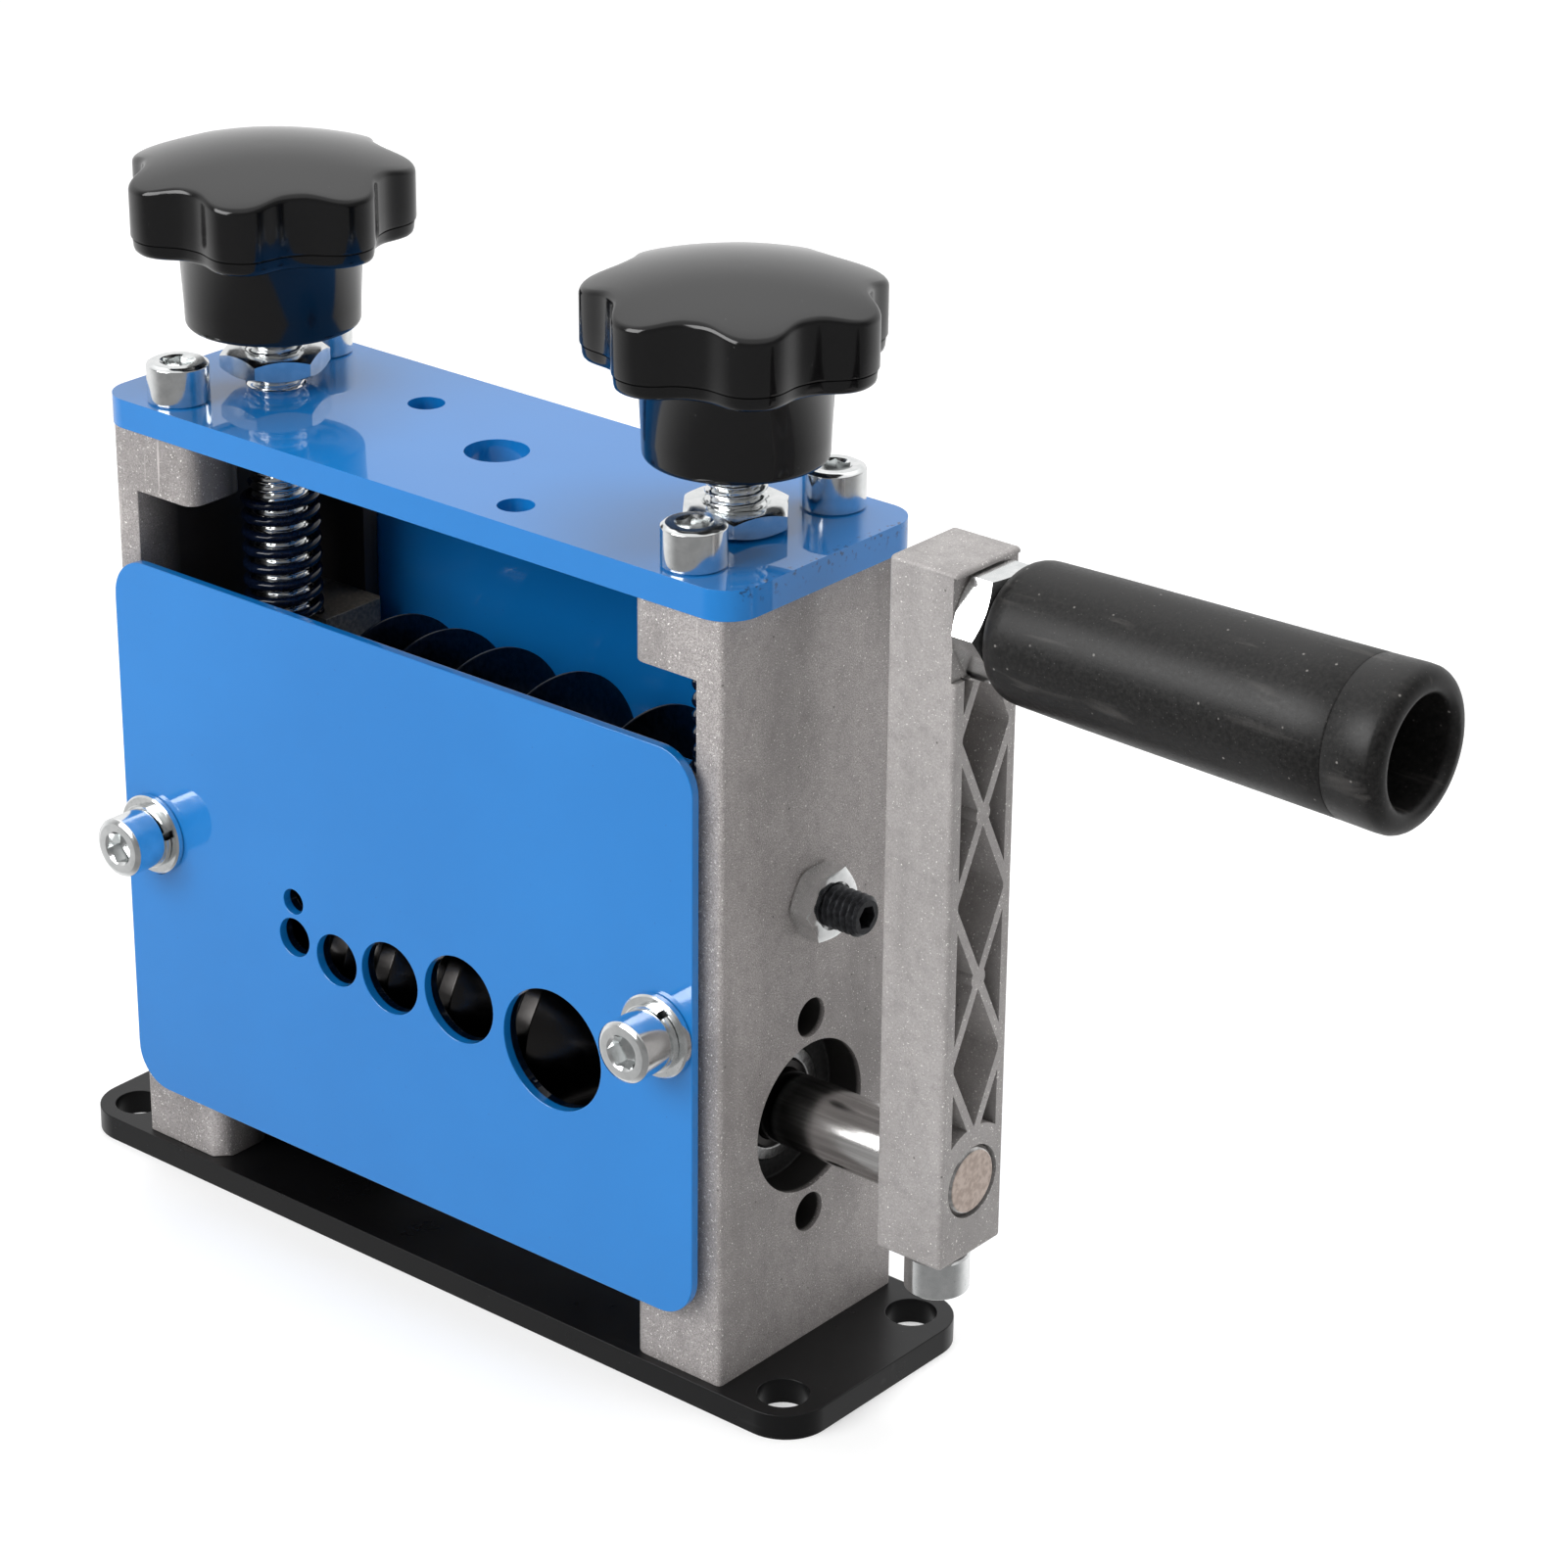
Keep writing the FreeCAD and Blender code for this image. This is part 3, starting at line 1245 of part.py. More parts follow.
make_base_plate()
make_base_screws()
make_side_frame("left_side_frame", -1)
make_side_frame("right_side_frame", 1)
make_top_plate()
make_top_plate_screws()
make_front_guide_plate()
make_back_plate()
make_plate_fasteners("front", -1)
make_plate_fasteners("back", 1)
make_feed_roller()
make_blade_shaft()
make_blade_stack()
make_block_bushes()
make_crank_arm()
make_crank_fasteners()
make_grip()
make_lock_screws()
for side, word in ((-1, "left"), (1, "right")):
    make_roller_bearing(side, word)
    make_bearing_block(side, word)
    make_adjusting_screw(side, word)
    make_jam_nut(side, word)
    make_knob(side, word)
    make_spring(side, word)
doc.recompute()

NODES = [
    "base_plate", "base_screws", "left_side_frame", "right_side_frame", "top_plate", "top_plate_screws",
    "front_guide_plate", "front_plate_screws", "front_spring_washers", "front_flat_washers",
    "back_plate", "back_plate_screws", "back_spring_washers", "back_flat_washers",
    "left_bearing_outer_ring", "right_bearing_outer_ring", "left_bearing_inner_ring",
    "right_bearing_inner_ring", "feed_roller", "side_lock_screws", "side_lock_nuts",
    "blade_shaft", "cutting_blade_1", "cutting_blade_2", "cutting_blade_3", "cutting_blade_4",
    "cutting_blade_5", "blade_spacers", "blade_nut", "block_bushes", "left_bearing_block",
    "right_bearing_block", "left_adjusting_screw", "right_adjusting_screw", "left_jam_nut",
    "right_jam_nut", "left_knob", "right_knob", "left_spring", "right_spring", "crank_arm",
    "crank_clamp_screw", "handle_bolt", "handle_nut", "grip",
]

for thing in doc.Objects:
    if "Invalid" in thing.State or "Error" in thing.State:
        raise RuntimeError(f"{thing.Name} has failed: {thing.State}")

os.makedirs("parts", exist_ok=True)
for name in NODES:
    node = doc.getObject(name)
    node.Label = name
    if node.Shape.isNull() or not node.Shape.Solids or not node.Shape.isValid():
        raise RuntimeError(f"{name} has no valid shape")
    node.Shape.exportStep(f"parts/{name}.step")
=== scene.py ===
"""Looks of the hand crank wire stripper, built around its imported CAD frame.

Lengths are metres in the part's frame: +X along the roller towards the crank, +Z up,
-Y towards the user. The frame says where its pieces are; this file gives them edges,
threads and finishes.
"""
import json
import math

import bmesh
import bpy
from mathutils import Matrix, Vector


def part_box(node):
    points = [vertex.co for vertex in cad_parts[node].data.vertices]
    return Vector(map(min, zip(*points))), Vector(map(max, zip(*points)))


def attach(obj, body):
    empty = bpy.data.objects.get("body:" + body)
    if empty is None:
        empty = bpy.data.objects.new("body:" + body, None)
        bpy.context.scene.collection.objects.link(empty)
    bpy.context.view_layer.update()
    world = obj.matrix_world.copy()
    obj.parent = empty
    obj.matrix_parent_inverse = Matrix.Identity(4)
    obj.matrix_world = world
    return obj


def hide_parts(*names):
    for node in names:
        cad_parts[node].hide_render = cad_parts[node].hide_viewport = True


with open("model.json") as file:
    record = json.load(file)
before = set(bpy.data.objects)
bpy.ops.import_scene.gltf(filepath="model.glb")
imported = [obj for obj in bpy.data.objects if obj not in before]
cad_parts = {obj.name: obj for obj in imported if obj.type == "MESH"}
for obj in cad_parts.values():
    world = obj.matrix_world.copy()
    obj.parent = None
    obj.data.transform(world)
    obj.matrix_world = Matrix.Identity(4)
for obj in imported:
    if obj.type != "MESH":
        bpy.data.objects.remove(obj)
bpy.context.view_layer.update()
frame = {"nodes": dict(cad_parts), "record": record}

MM = 0.001
TAU = 2 * math.pi
UP = Vector((0, 0, 1))

# Places read from the frame
JOINTS = {joint["name"]: joint for joint in frame["record"]["behaviour"]["joints"]}
ROLLER_AXIS = JOINTS["crank_turn"]["pos_m"][2]
HANDLE_AXIS = JOINTS["grip_turn"]["pos_m"][2]
ADJUSTER_X = JOINTS["right_knob_turn"]["pos_m"][0]

# M6 cap screws
HEAD_RADIUS = 5.2 * MM
HEAD_HEIGHT = 6.8 * MM
SHANK_RADIUS = 3 * MM
SOCKET_FLATS = 5 * MM

# The radius at which a turned profile ends on its axis
ON_AXIS = 0.0001 * MM


# ------------------------------------------------------------------ meshes

def new_object(name, mesh, slot_name, finish=None):
    """Link a mesh, and give it the finish of the record's material slot, or a variant of it."""
    piece = bpy.data.objects.new(name, mesh)
    bpy.context.scene.collection.objects.link(piece)
    piece.data.materials.append(finish_of(finish or slot_name))
    return piece


def mesh_from(name, vertices, faces):
    """A mesh of the given points and faces."""
    mesh = bpy.data.meshes.new(name)
    mesh.from_pydata(vertices, [], faces)
    mesh.update()
    return mesh


def shade(mesh, angle):
    """Smooth faces, with sharp edges where the surface turns by more than the angle."""
    mesh.shade_smooth()
    mesh.set_sharp_from_angle(angle=math.radians(angle))


def even_shading(piece, angle):
    """Smooth shading that keeps flat faces flat beside their rounded edges."""
    shade(piece.data, angle)
    step = piece.modifiers.new("flat", "WEIGHTED_NORMAL")
    step.keep_sharp = True
    step.weight = 100
    solve_modifiers(piece)


def solve_modifiers(piece):
    """Replace a piece's mesh by what its modifiers make of it."""
    graph = bpy.context.evaluated_depsgraph_get()
    solved = bpy.data.meshes.new_from_object(piece.evaluated_get(graph))
    piece.modifiers.clear()
    piece.data = solved


def skin(name, rows, closed=False):
    """A solid over rows of (radius, height, angle); closed joins the last row to the first."""
    count = len(rows)
    sides = len(rows[0])
    points = []
    for row in rows:
        for radius, height, angle in row:
            points.append((radius * math.cos(angle), radius * math.sin(angle), height))
    faces = []
    for index in range(count if closed else count - 1):
        low = index * sides
        high = ((index + 1) % count) * sides
        for side in range(sides):
            after = (side + 1) % sides
            faces.append((low + side, low + after, high + after, high + side))
    if not closed:
        faces.append(tuple(reversed(range(sides))))
        faces.append(tuple(range((count - 1) * sides, count * sides)))
    mesh = mesh_from(name, points, faces)
    tidy(mesh)
    return mesh


def lathe(name, profile, segments, closed=False):
    """Turn a profile of (radius, height) points round Z."""
    angles = [TAU * step / segments for step in range(segments)]
    rows = [[(radius, height, angle) for angle in angles] for radius, height in profile]
    return skin(name, rows, closed)


def tidy(mesh):
    """Weld points that meet and turn all faces outwards."""
    work = bmesh.new()
    work.from_mesh(mesh)
    bmesh.ops.remove_doubles(work, verts=work.verts, dist=1e-7)
    bmesh.ops.recalc_face_normals(work, faces=work.faces)
    work.to_mesh(mesh)
    work.free()


def rounded(points, radius, steps):
    """A profile whose inner points are rounded by curves of about the radius."""
    result = [points[0]]
    for before, corner, after in zip(points, points[1:], points[2:]):
        at = Vector(corner)
        back = Vector(before) - at
        ahead = Vector(after) - at
        reach = min(radius, back.length * 0.45, ahead.length * 0.45)
        start = at + back.normalized() * reach
        end = at + ahead.normalized() * reach
        for step in range(steps + 1):
            share = step / steps
            point = start.lerp(at, share).lerp(at.lerp(end, share), share)
            result.append((point.x, point.y))
    result.append(points[-1])
    return result


def hexagon_radius(angle, flats):
    """Distance from the middle to the side of a hexagon at an angle."""
    turn = (angle + TAU / 12) % (TAU / 6) - TAU / 12
    return flats / 2 / math.cos(turn)


def hex_nut(name, flats, thickness, bore):
    """A hexagon nut with turned-off corners and a countersunk bore."""
    segments = 96
    narrow = flats / 2 * 0.95
    slope = math.tan(math.radians(30))
    sink = 0.6 * MM
    angles = [TAU * step / segments for step in range(segments)]
    sides = [hexagon_radius(angle, flats) for angle in angles]
    rims = [(side - narrow) * slope for side in sides]
    rows = [
        [(narrow, 0.0, angle) for angle in angles],
        [(side, rim, angle) for side, rim, angle in zip(sides, rims, angles)],
        [(side, thickness - rim, angle) for side, rim, angle in zip(sides, rims, angles)],
        [(narrow, thickness, angle) for angle in angles],
    ]
    for radius, height in ((bore + sink, thickness), (bore, thickness - sink), (bore, sink),
                           (bore + sink, 0.0)):
        rows.append([(radius, height, angle) for angle in angles])
    return skin(name, rows, closed=True)


def threaded_rod(name, radius, pitch, length, depth, rows_per_turn, tip):
    """A rod with a real helical thread and ends chamfered by the tip, from z = 0 to its length."""
    segments = 48
    flank = 2.7
    root = 0.12
    count = int(round(length / pitch * rows_per_turn))
    rows = []
    for step in range(count + 1):
        height = length * step / count
        near = min(height, length - height)
        limit = radius - max(0.0, tip - near)
        row = []
        for side in range(segments):
            angle = TAU * side / segments
            phase = (height / pitch - angle / TAU) % 1.0
            crest = min(1.0, max(0.0, abs(phase - 0.5) * flank - root))
            row.append((min(limit, radius - depth * (1 - crest)), height, angle))
        rows.append(row)
    return skin(name, rows)


def drill(mesh, cutter):
    """Take one mesh out of another."""
    base = bpy.data.objects.new("drilled", mesh)
    tool = bpy.data.objects.new("drill", cutter)
    for item in (base, tool):
        bpy.context.scene.collection.objects.link(item)
    step = base.modifiers.new("drill", "BOOLEAN")
    step.operation = "DIFFERENCE"
    step.solver = "EXACT"
    step.object = tool
    solve_modifiers(base)
    result = base.data
    bpy.data.objects.remove(base)
    bpy.data.objects.remove(tool)
    return result


def hex_prism(name, flats, low, high, point):
    """A hexagonal prism with a low cone of height point below it, as a broached socket has."""
    corner = flats / 2 / math.cos(TAU / 12)
    vertices = []
    for height in (low, high):
        for side in range(6):
            angle = TAU * side / 6
            vertices.append((corner * math.cos(angle), corner * math.sin(angle), height))
    faces = [(side, (side + 1) % 6, (side + 1) % 6 + 6, side + 6) for side in range(6)]
    faces.append(tuple(range(6, 12)))
    vertices.append((0, 0, low - point))
    for side in range(6):
        faces.append((12, (side + 1) % 6, side))
    mesh = mesh_from(name, vertices, faces)
    tidy(mesh)
    return mesh


def cap_screw_mesh(name, head=HEAD_HEIGHT, length=14 * MM):
    """A socket-head cap screw: head up from z = 0, shank down."""
    rim = HEAD_RADIUS - 0.75 * MM
    side = [(ON_AXIS, -length), (SHANK_RADIUS - 0.5 * MM, -length), (SHANK_RADIUS, -length + 0.6 * MM),
            (SHANK_RADIUS, 0), (HEAD_RADIUS - 0.3 * MM, 0), (HEAD_RADIUS, 0.3 * MM),
            (HEAD_RADIUS, head - 0.62 * MM)]
    crown_edge = [(HEAD_RADIUS - 0.12 * MM, head - 0.42 * MM), (rim, head - 0.06 * MM),
                  (rim - 0.15 * MM, head), (ON_AXIS, head)]
    body = lathe(name, side + crown_edge, 64)
    body = drill(body, hex_prism("socket", SOCKET_FLATS, head - 3 * MM, head + 1 * MM, 0.9 * MM))
    mouth = SOCKET_FLATS / 2
    sink = lathe("sink", [(ON_AXIS, head - 0.5 * MM), (mouth * 0.98, head - 0.5 * MM),
                          (mouth * 1.3, head + 0.2 * MM), (ON_AXIS, head + 0.2 * MM)], 48)
    return drill(body, sink)


def washer_mesh(name, outside, inside, thickness):
    """A flat washer with chamfered edges."""
    profile = [(inside, 0), (outside - 0.2 * MM, 0), (outside, 0.2 * MM), (outside, thickness - 0.3 * MM),
               (outside - 0.3 * MM, thickness), (inside + 0.2 * MM, thickness),
               (inside, thickness - 0.2 * MM)]
    return lathe(name, profile, 64, closed=True)


def spring_washer_mesh(name, outside, inside, thickness):
    """A split ring of square section whose ends stand slightly apart."""
    gap = math.radians(7)
    lift = 0.25 * MM
    edge = 0.15 * MM
    segments = 72
    section = [(inside, 0.1), (inside + edge, 0), (outside - edge, 0), (outside, 0.1),
               (outside, 0.9), (outside - edge, 1), (inside + edge, 1), (inside, 0.9)]
    rows = []
    for step in range(segments + 1):
        share = step / segments
        angle = gap + (TAU - 2 * gap) * share
        rows.append([(radius, level * (thickness - lift) + lift * share, angle) for radius, level in section])
    return skin(name, rows)


def moved(mesh, matrix):
    """A copy of a mesh at another place."""
    mesh = mesh.copy()
    mesh.transform(matrix)
    return mesh


def joined(name, meshes):
    """Several meshes as one."""
    work = bmesh.new()
    for mesh in meshes:
        work.from_mesh(mesh)
    result = bpy.data.meshes.new(name)
    work.to_mesh(result)
    work.free()
    return result


def pointing(axis, place, twist=0.0):
    """The matrix that turns +Z along an axis, spins about it and moves to a place."""
    turn = UP.rotation_difference(Vector(axis)).to_matrix().to_4x4()
    return Matrix.Translation(Vector(place)) @ turn @ Matrix.Rotation(twist, 4, "Z")


def on_plane(value, plane, play=0.05 * MM):
    """Whether a coordinate lies on a plane across its axis."""
    return abs(value - plane) < play


def round_columns(work):
    """Round the upright inner edges of a side frame's columns, as the mould leaves them."""
    reach = max(abs(vertex.co.y) for vertex in work.verts)
    inner = min(abs(vertex.co.x) for vertex in work.verts)
    chosen = []
    for edge in work.edges:
        upright = all(on_plane(abs(vertex.co.x), inner) and on_plane(abs(vertex.co.y), reach)
                      for vertex in edge.verts)
        if upright and edge.calc_length() > 5 * MM:
            chosen.append(edge)
    bmesh.ops.bevel(work, geom=chosen, offset=2.6 * MM, segments=6, profile=0.5, affect="EDGES")


def relieve_back(work):
    """Bevel the back of the guide plate's outer rim, so the rim shows a thin sheet."""
    play = 0.02 * MM
    back = max(vertex.co.y for vertex in work.verts)
    points = [(vertex.co.x, vertex.co.z) for vertex in work.verts if on_plane(vertex.co.y, back, play)]
    chosen = []
    for edge in work.edges:
        first, second = (vertex.co for vertex in edge.verts)
        if max(abs(first.y - back), abs(second.y - back)) > play or len(edge.link_faces) != 2:
            continue
        along = Vector((second.x - first.x, second.z - first.z)).normalized()
        sides = [along.x * (z - first.z) - along.y * (x - first.x) for x, z in points]
        all_on_one_side = min(sides) > -0.03 * MM or max(sides) < 0.03 * MM
        if all_on_one_side:
            chosen.append(edge)
    bmesh.ops.bevel(work, geom=chosen, offset=1.5 * MM, segments=1, affect="EDGES", clamp_overlap=False)


def refine(node, slot_name, width, segments=3, angle=30, finish=None, carve=None):
    """A copy of a CAD node whose sharp edges are rounded, which stands for the node."""
    mesh = frame["nodes"][node].data.copy()
    work = bmesh.new()
    work.from_mesh(mesh)
    bmesh.ops.remove_doubles(work, verts=work.verts, dist=2e-6)
    bmesh.ops.dissolve_limit(work, angle_limit=math.radians(0.6), verts=work.verts, edges=work.edges)
    if carve:
        carve(work)
    bmesh.ops.recalc_face_normals(work, faces=work.faces)
    work.to_mesh(mesh)
    work.free()
    mesh.materials.clear()
    piece = new_object(node + "_body", mesh, slot_name, finish)
    bevel = piece.modifiers.new("edges", "BEVEL")
    bevel.width = width
    bevel.segments = segments
    bevel.limit_method = "ANGLE"
    bevel.angle_limit = math.radians(angle)
    solve_modifiers(piece)
    even_shading(piece, 40)
    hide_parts(node)
    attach(piece, body_of_node(node))


def body_of_node(node):
    """The moving body that holds a CAD node."""
    for body, nodes in frame["record"]["behaviour"]["bodies"].items():
        if node in nodes:
            return body
    raise ValueError(node)


def fit(name, mesh, slot_name, node, round_angle=None):
    """A detailed mesh that stands for a CAD node and rides on its body.

    A piece with flat faces gets even shading. A piece that is round all over gives the angle from
    which a turn of its surface is an edge.
    """
    piece = new_object(name, mesh, slot_name)
    if round_angle:
        shade(mesh, round_angle)
    else:
        even_shading(piece, 32)
    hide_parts(node)
    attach(piece, body_of_node(node))
    return piece


# --------------------------------------------------------------- materials

FINISHES = {}


class Shader:
    """A node material with a few shorthand calls."""

    def __init__(self, name):
        self.material = bpy.data.materials.new(name)
        self.material.use_nodes = True
        self.nodes = self.material.node_tree.nodes
        self.links = self.material.node_tree.links
        self.surface = self.nodes["Principled BSDF"]
        self.place = self.nodes.new("ShaderNodeTexCoord").outputs["Object"]

    def set(self, **values):
        """Give sockets of the surface their values."""
        for socket, number in values.items():
            self.surface.inputs[socket.replace("_", " ")].default_value = number

    def link(self, output, socket):
        """Lead an output to a socket of the surface."""
        self.links.new(output, self.surface.inputs[socket])

    def stretch(self, scale):
        """The object's coordinates, stretched along the axes."""
        mapping = self.nodes.new("ShaderNodeMapping")
        mapping.inputs["Scale"].default_value = scale
        self.links.new(self.place, mapping.inputs["Vector"])
        return mapping.outputs["Vector"]

    def noise(self, scale, detail=3.0, rough=0.55, vector=None, distortion=0.0):
        """Cloudy noise; the larger the scale, the finer it is."""
        node = self.nodes.new("ShaderNodeTexNoise")
        node.inputs["Scale"].default_value = scale
        node.inputs["Detail"].default_value = detail
        node.inputs["Roughness"].default_value = rough
        node.inputs["Distortion"].default_value = distortion
        self.links.new(vector or self.place, node.inputs["Vector"])
        return node.outputs["Fac"]

    def cells(self, scale):
        """Distance to the nearest of scattered points, which small specks are cut from."""
        node = self.nodes.new("ShaderNodeTexVoronoi")
        node.inputs["Scale"].default_value = scale
        self.links.new(self.place, node.inputs["Vector"])
        return node.outputs["Distance"]

    def ramp(self, value, low, high, start=0.0, end=1.0):
        """Map low..high of a value to start..end."""
        node = self.nodes.new("ShaderNodeMapRange")
        node.clamp = True
        node.inputs["From Min"].default_value = low
        node.inputs["From Max"].default_value = high
        node.inputs["To Min"].default_value = start
        node.inputs["To Max"].default_value = end
        self.links.new(value, node.inputs["Value"])
        return node.outputs["Result"]

    def mix(self, factor, first, second):
        """Mix two colours, each a socket or a tuple."""
        node = self.nodes.new("ShaderNodeMix")
        node.data_type = "RGBA"
        colour_in = [socket for socket in node.inputs if socket.type == "RGBA"]
        for socket, colour in zip(colour_in, (first, second)):
            if isinstance(colour, tuple):
                socket.default_value = (*colour, 1.0)
            else:
                self.links.new(colour, socket)
        self.links.new(factor, node.inputs["Factor"])
        return [socket for socket in node.outputs if socket.type == "RGBA"][0]

    def maths(self, operation, first, second=0.0):
        """A sum, product or the like of two values, each a socket or a number."""
        node = self.nodes.new("ShaderNodeMath")
        node.operation = operation
        for socket, item in zip(node.inputs, (first, second)):
            if isinstance(item, (int, float)):
                socket.default_value = item
            else:
                self.links.new(item, socket)
        return node.outputs["Value"]

    def both(self, first, second):
        """The product of two masks."""
        return self.maths("MULTIPLY", first, second)

    def axis(self, letter):
        """One of the object's coordinates."""
        split = self.nodes.new("ShaderNodeSeparateXYZ")
        self.links.new(self.place, split.inputs["Vector"])
        return split.outputs[letter]

    def faces_right(self):
        """1 where the surface looks along +X."""
        split = self.nodes.new("ShaderNodeSeparateXYZ")
        geometry = self.nodes.new("ShaderNodeNewGeometry")
        self.links.new(geometry.outputs["Normal"], split.inputs["Vector"])
        return self.ramp(split.outputs["X"], 0.9, 0.95)

    def painted_shade_inside(self):
        """1 deep between the frame's columns, where painted shade darkens the casting, and 0 outside."""
        between_sides = self.ramp(self.maths("ABSOLUTE", self.axis("X")), 65.9 * MM, 65.2 * MM)
        deep = self.axis("Y")
        behind_front = self.ramp(deep, -21.5 * MM, -13.0 * MM)
        before_back = self.ramp(deep, 21.9 * MM, 21.5 * MM)
        return self.both(between_sides, self.both(behind_front, before_back))

    def bump(self, height, distance, strength):
        """Let a height show as relief on the surface."""
        node = self.nodes.new("ShaderNodeBump")
        node.inputs["Strength"].default_value = strength
        node.inputs["Distance"].default_value = distance
        self.links.new(height, node.inputs["Height"])
        self.links.new(node.outputs["Normal"], self.surface.inputs["Normal"])


def tinted(tone, share):
    """A colour made darker or lighter, channel by channel."""
    return tuple(min(1.0, channel * share) for channel in tone)


def cast_metal(name, tone=(0.335, 0.313, 0.306), clouds=0.6, grains=0.17):
    """Tumbled die casting: fine bright grain, smudges, drawn streaks, flecks, pits, and painted shade deep
    inside the frame.

    clouds is how strong the smudges are, and grains how soft the grain is.
    """
    shader = Shader(name)
    dark = tinted(tone, 0.60)
    light = tinted(tone, 1.5)
    grain = shader.noise(4300, 3.0, 0.75)
    colour = shader.mix(shader.ramp(grain, 0.5 - grains, 0.5 + grains), dark, light)
    broad = shader.noise(420, 3.0, 0.6)
    colour = shader.mix(shader.ramp(broad, 0.48, 0.70, 0.0, 0.35), colour, dark)
    cloud = shader.noise(34, 4.0, 0.6, vector=shader.stretch((1.0, 1.0, 0.5)))
    colour = shader.mix(shader.ramp(cloud, 0.46, 0.68, 0.0, clouds), colour, tinted(tone, 0.45))
    streak = shader.noise(150, 3.0, 0.6, vector=shader.stretch((1.0, 1.0, 0.08)))
    colour = shader.mix(shader.ramp(streak, 0.48, 0.75, 0.0, 0.35), colour, dark)
    flecks = shader.noise(2700, 1.0, 0.5)
    colour = shader.mix(shader.ramp(flecks, 0.68, 0.73, 0.0, 0.85), colour, (0.86, 0.84, 0.81))
    scratch = shader.noise(420, 2.0, 0.5, vector=shader.stretch((1.0, 1.0, 0.05)), distortion=0.4)
    patch = shader.noise(31, 2.0)
    marks = shader.both(shader.ramp(scratch, 0.71, 0.74), shader.ramp(patch, 0.54, 0.62))
    colour = shader.mix(marks, colour, light)
    pits = shader.cells(240)
    colour = shader.mix(shader.ramp(pits, 0.06, 0.03, 0.0, 0.7), colour, (0.06, 0.055, 0.05))
    # Painted shade: the casting turns near black deep between the columns, where little light comes.
    colour = shader.mix(shader.painted_shade_inside(), colour, tinted(tone, 0.07))
    shader.link(colour, "Base Color")
    shader.set(Metallic=0.2, Specular_IOR_Level=0.4)
    shader.link(shader.ramp(grain, 0.3, 0.7, 0.60, 0.42), "Roughness")
    height = shader.maths("ADD", grain, shader.ramp(pits, 0.06, 0.03, 0.0, -1.2))
    shader.bump(height, 0.05 * MM, 0.6)
    return shader.material


def blue_plate(name):
    """Glossy blue powder coat with specks, a chipped right edge, and painted shade that darkens the guide
    holes inwards.
    """
    shader = Shader(name)
    cloud = shader.noise(14, 3.0)
    colour = shader.mix(shader.ramp(cloud, 0.35, 0.65), (0.004, 0.152, 0.455), (0.006, 0.169, 0.495))
    speck = shader.cells(300)
    colour = shader.mix(shader.ramp(speck, 0.035, 0.018, 0.0, 0.7), colour, (0.01, 0.04, 0.13))
    across = shader.axis("X")
    deep = shader.axis("Y")
    upward = shader.axis("Z")
    right_edge = shader.both(shader.ramp(across, 67.2 * MM, 67.6 * MM),
                             shader.ramp(upward, 138.5 * MM, 141.4 * MM))
    chip = shader.noise(900, 2.5, 0.6)
    chipped = shader.both(shader.ramp(chip, 0.58, 0.64, 0.0, 0.7), right_edge)
    colour = shader.mix(chipped, colour, (0.003, 0.018, 0.055))
    # Painted shade: the back half of the guide holes' walls turns near black, where little light reaches.
    painted_shade_back_half = shader.both(shader.ramp(deep, -23.6 * MM, -23.4 * MM),
                            shader.ramp(deep, -21.0 * MM, -21.5 * MM))
    off_the_rim = shader.both(shader.ramp(shader.maths("ABSOLUTE", across), 60.5 * MM, 59.5 * MM),
                              shader.ramp(upward, 112.0 * MM, 110.0 * MM))
    colour = shader.mix(shader.both(painted_shade_back_half, off_the_rim), colour, (0.0005, 0.004, 0.012))
    shader.link(colour, "Base Color")
    shader.set(Metallic=0.0, Specular_IOR_Level=0.05, Roughness=0.35, Coat_Weight=1.0, Coat_Roughness=0.025,
               Coat_IOR=1.72)
    shader.bump(shader.noise(260, 2.0), 0.01 * MM, 0.08)
    return shader.material


def black_paint(name):
    """Near-black glossy paint with dust and small scratches."""
    shader = Shader(name)
    dust = shader.cells(480)
    colour = shader.mix(shader.ramp(dust, 0.05, 0.02, 0.0, 0.7), (0.0042, 0.0042, 0.0046), (0.10, 0.10, 0.10))
    scratch = shader.noise(260, 2.0, vector=shader.stretch((0.15, 1.0, 1.0)))
    colour = shader.mix(shader.ramp(scratch, 0.68, 0.76, 0.0, 0.25), colour, (0.05, 0.05, 0.05))
    shader.link(colour, "Base Color")
    shader.set(Specular_IOR_Level=0.3)
    shader.link(shader.ramp(shader.noise(120, 3.0), 0.3, 0.7, 0.26, 0.36), "Roughness")
    shader.bump(shader.noise(700, 2.0), 0.015 * MM, 0.3)
    return shader.material


def zinc(name):
    """Bright zinc plating: smooth mirror-like metal with small stains."""
    shader = Shader(name)
    cloud = shader.noise(420, 3.0, 0.55)
    colour = shader.mix(shader.ramp(cloud, 0.35, 0.65), (0.80, 0.82, 0.82), (0.93, 0.94, 0.94))
    stain = shader.cells(760)
    colour = shader.mix(shader.ramp(stain, 0.10, 0.04, 0.0, 0.45), colour, (0.25, 0.27, 0.27))
    shader.link(colour, "Base Color")
    shader.set(Metallic=1.0)
    shader.link(shader.ramp(cloud, 0.3, 0.7, 0.10, 0.20), "Roughness")
    shader.bump(shader.noise(1500, 2.0), 0.004 * MM, 0.25)
    return shader.material


def dark_steel(name, tone=(0.030, 0.031, 0.034), metallic=0.7, rough=(0.3, 0.45)):
    """Blackened or blued steel."""
    shader = Shader(name)
    cloud = shader.noise(1400, 3.0)
    colour = shader.mix(shader.ramp(cloud, 0.4, 0.7), tone, tinted(tone, 1.9))
    shader.link(colour, "Base Color")
    shader.set(Metallic=metallic, Specular_IOR_Level=0.35)
    shader.link(shader.ramp(cloud, 0.3, 0.7, *rough), "Roughness")
    shader.bump(shader.noise(2600, 2.0), 0.01 * MM, 0.2)
    return shader.material


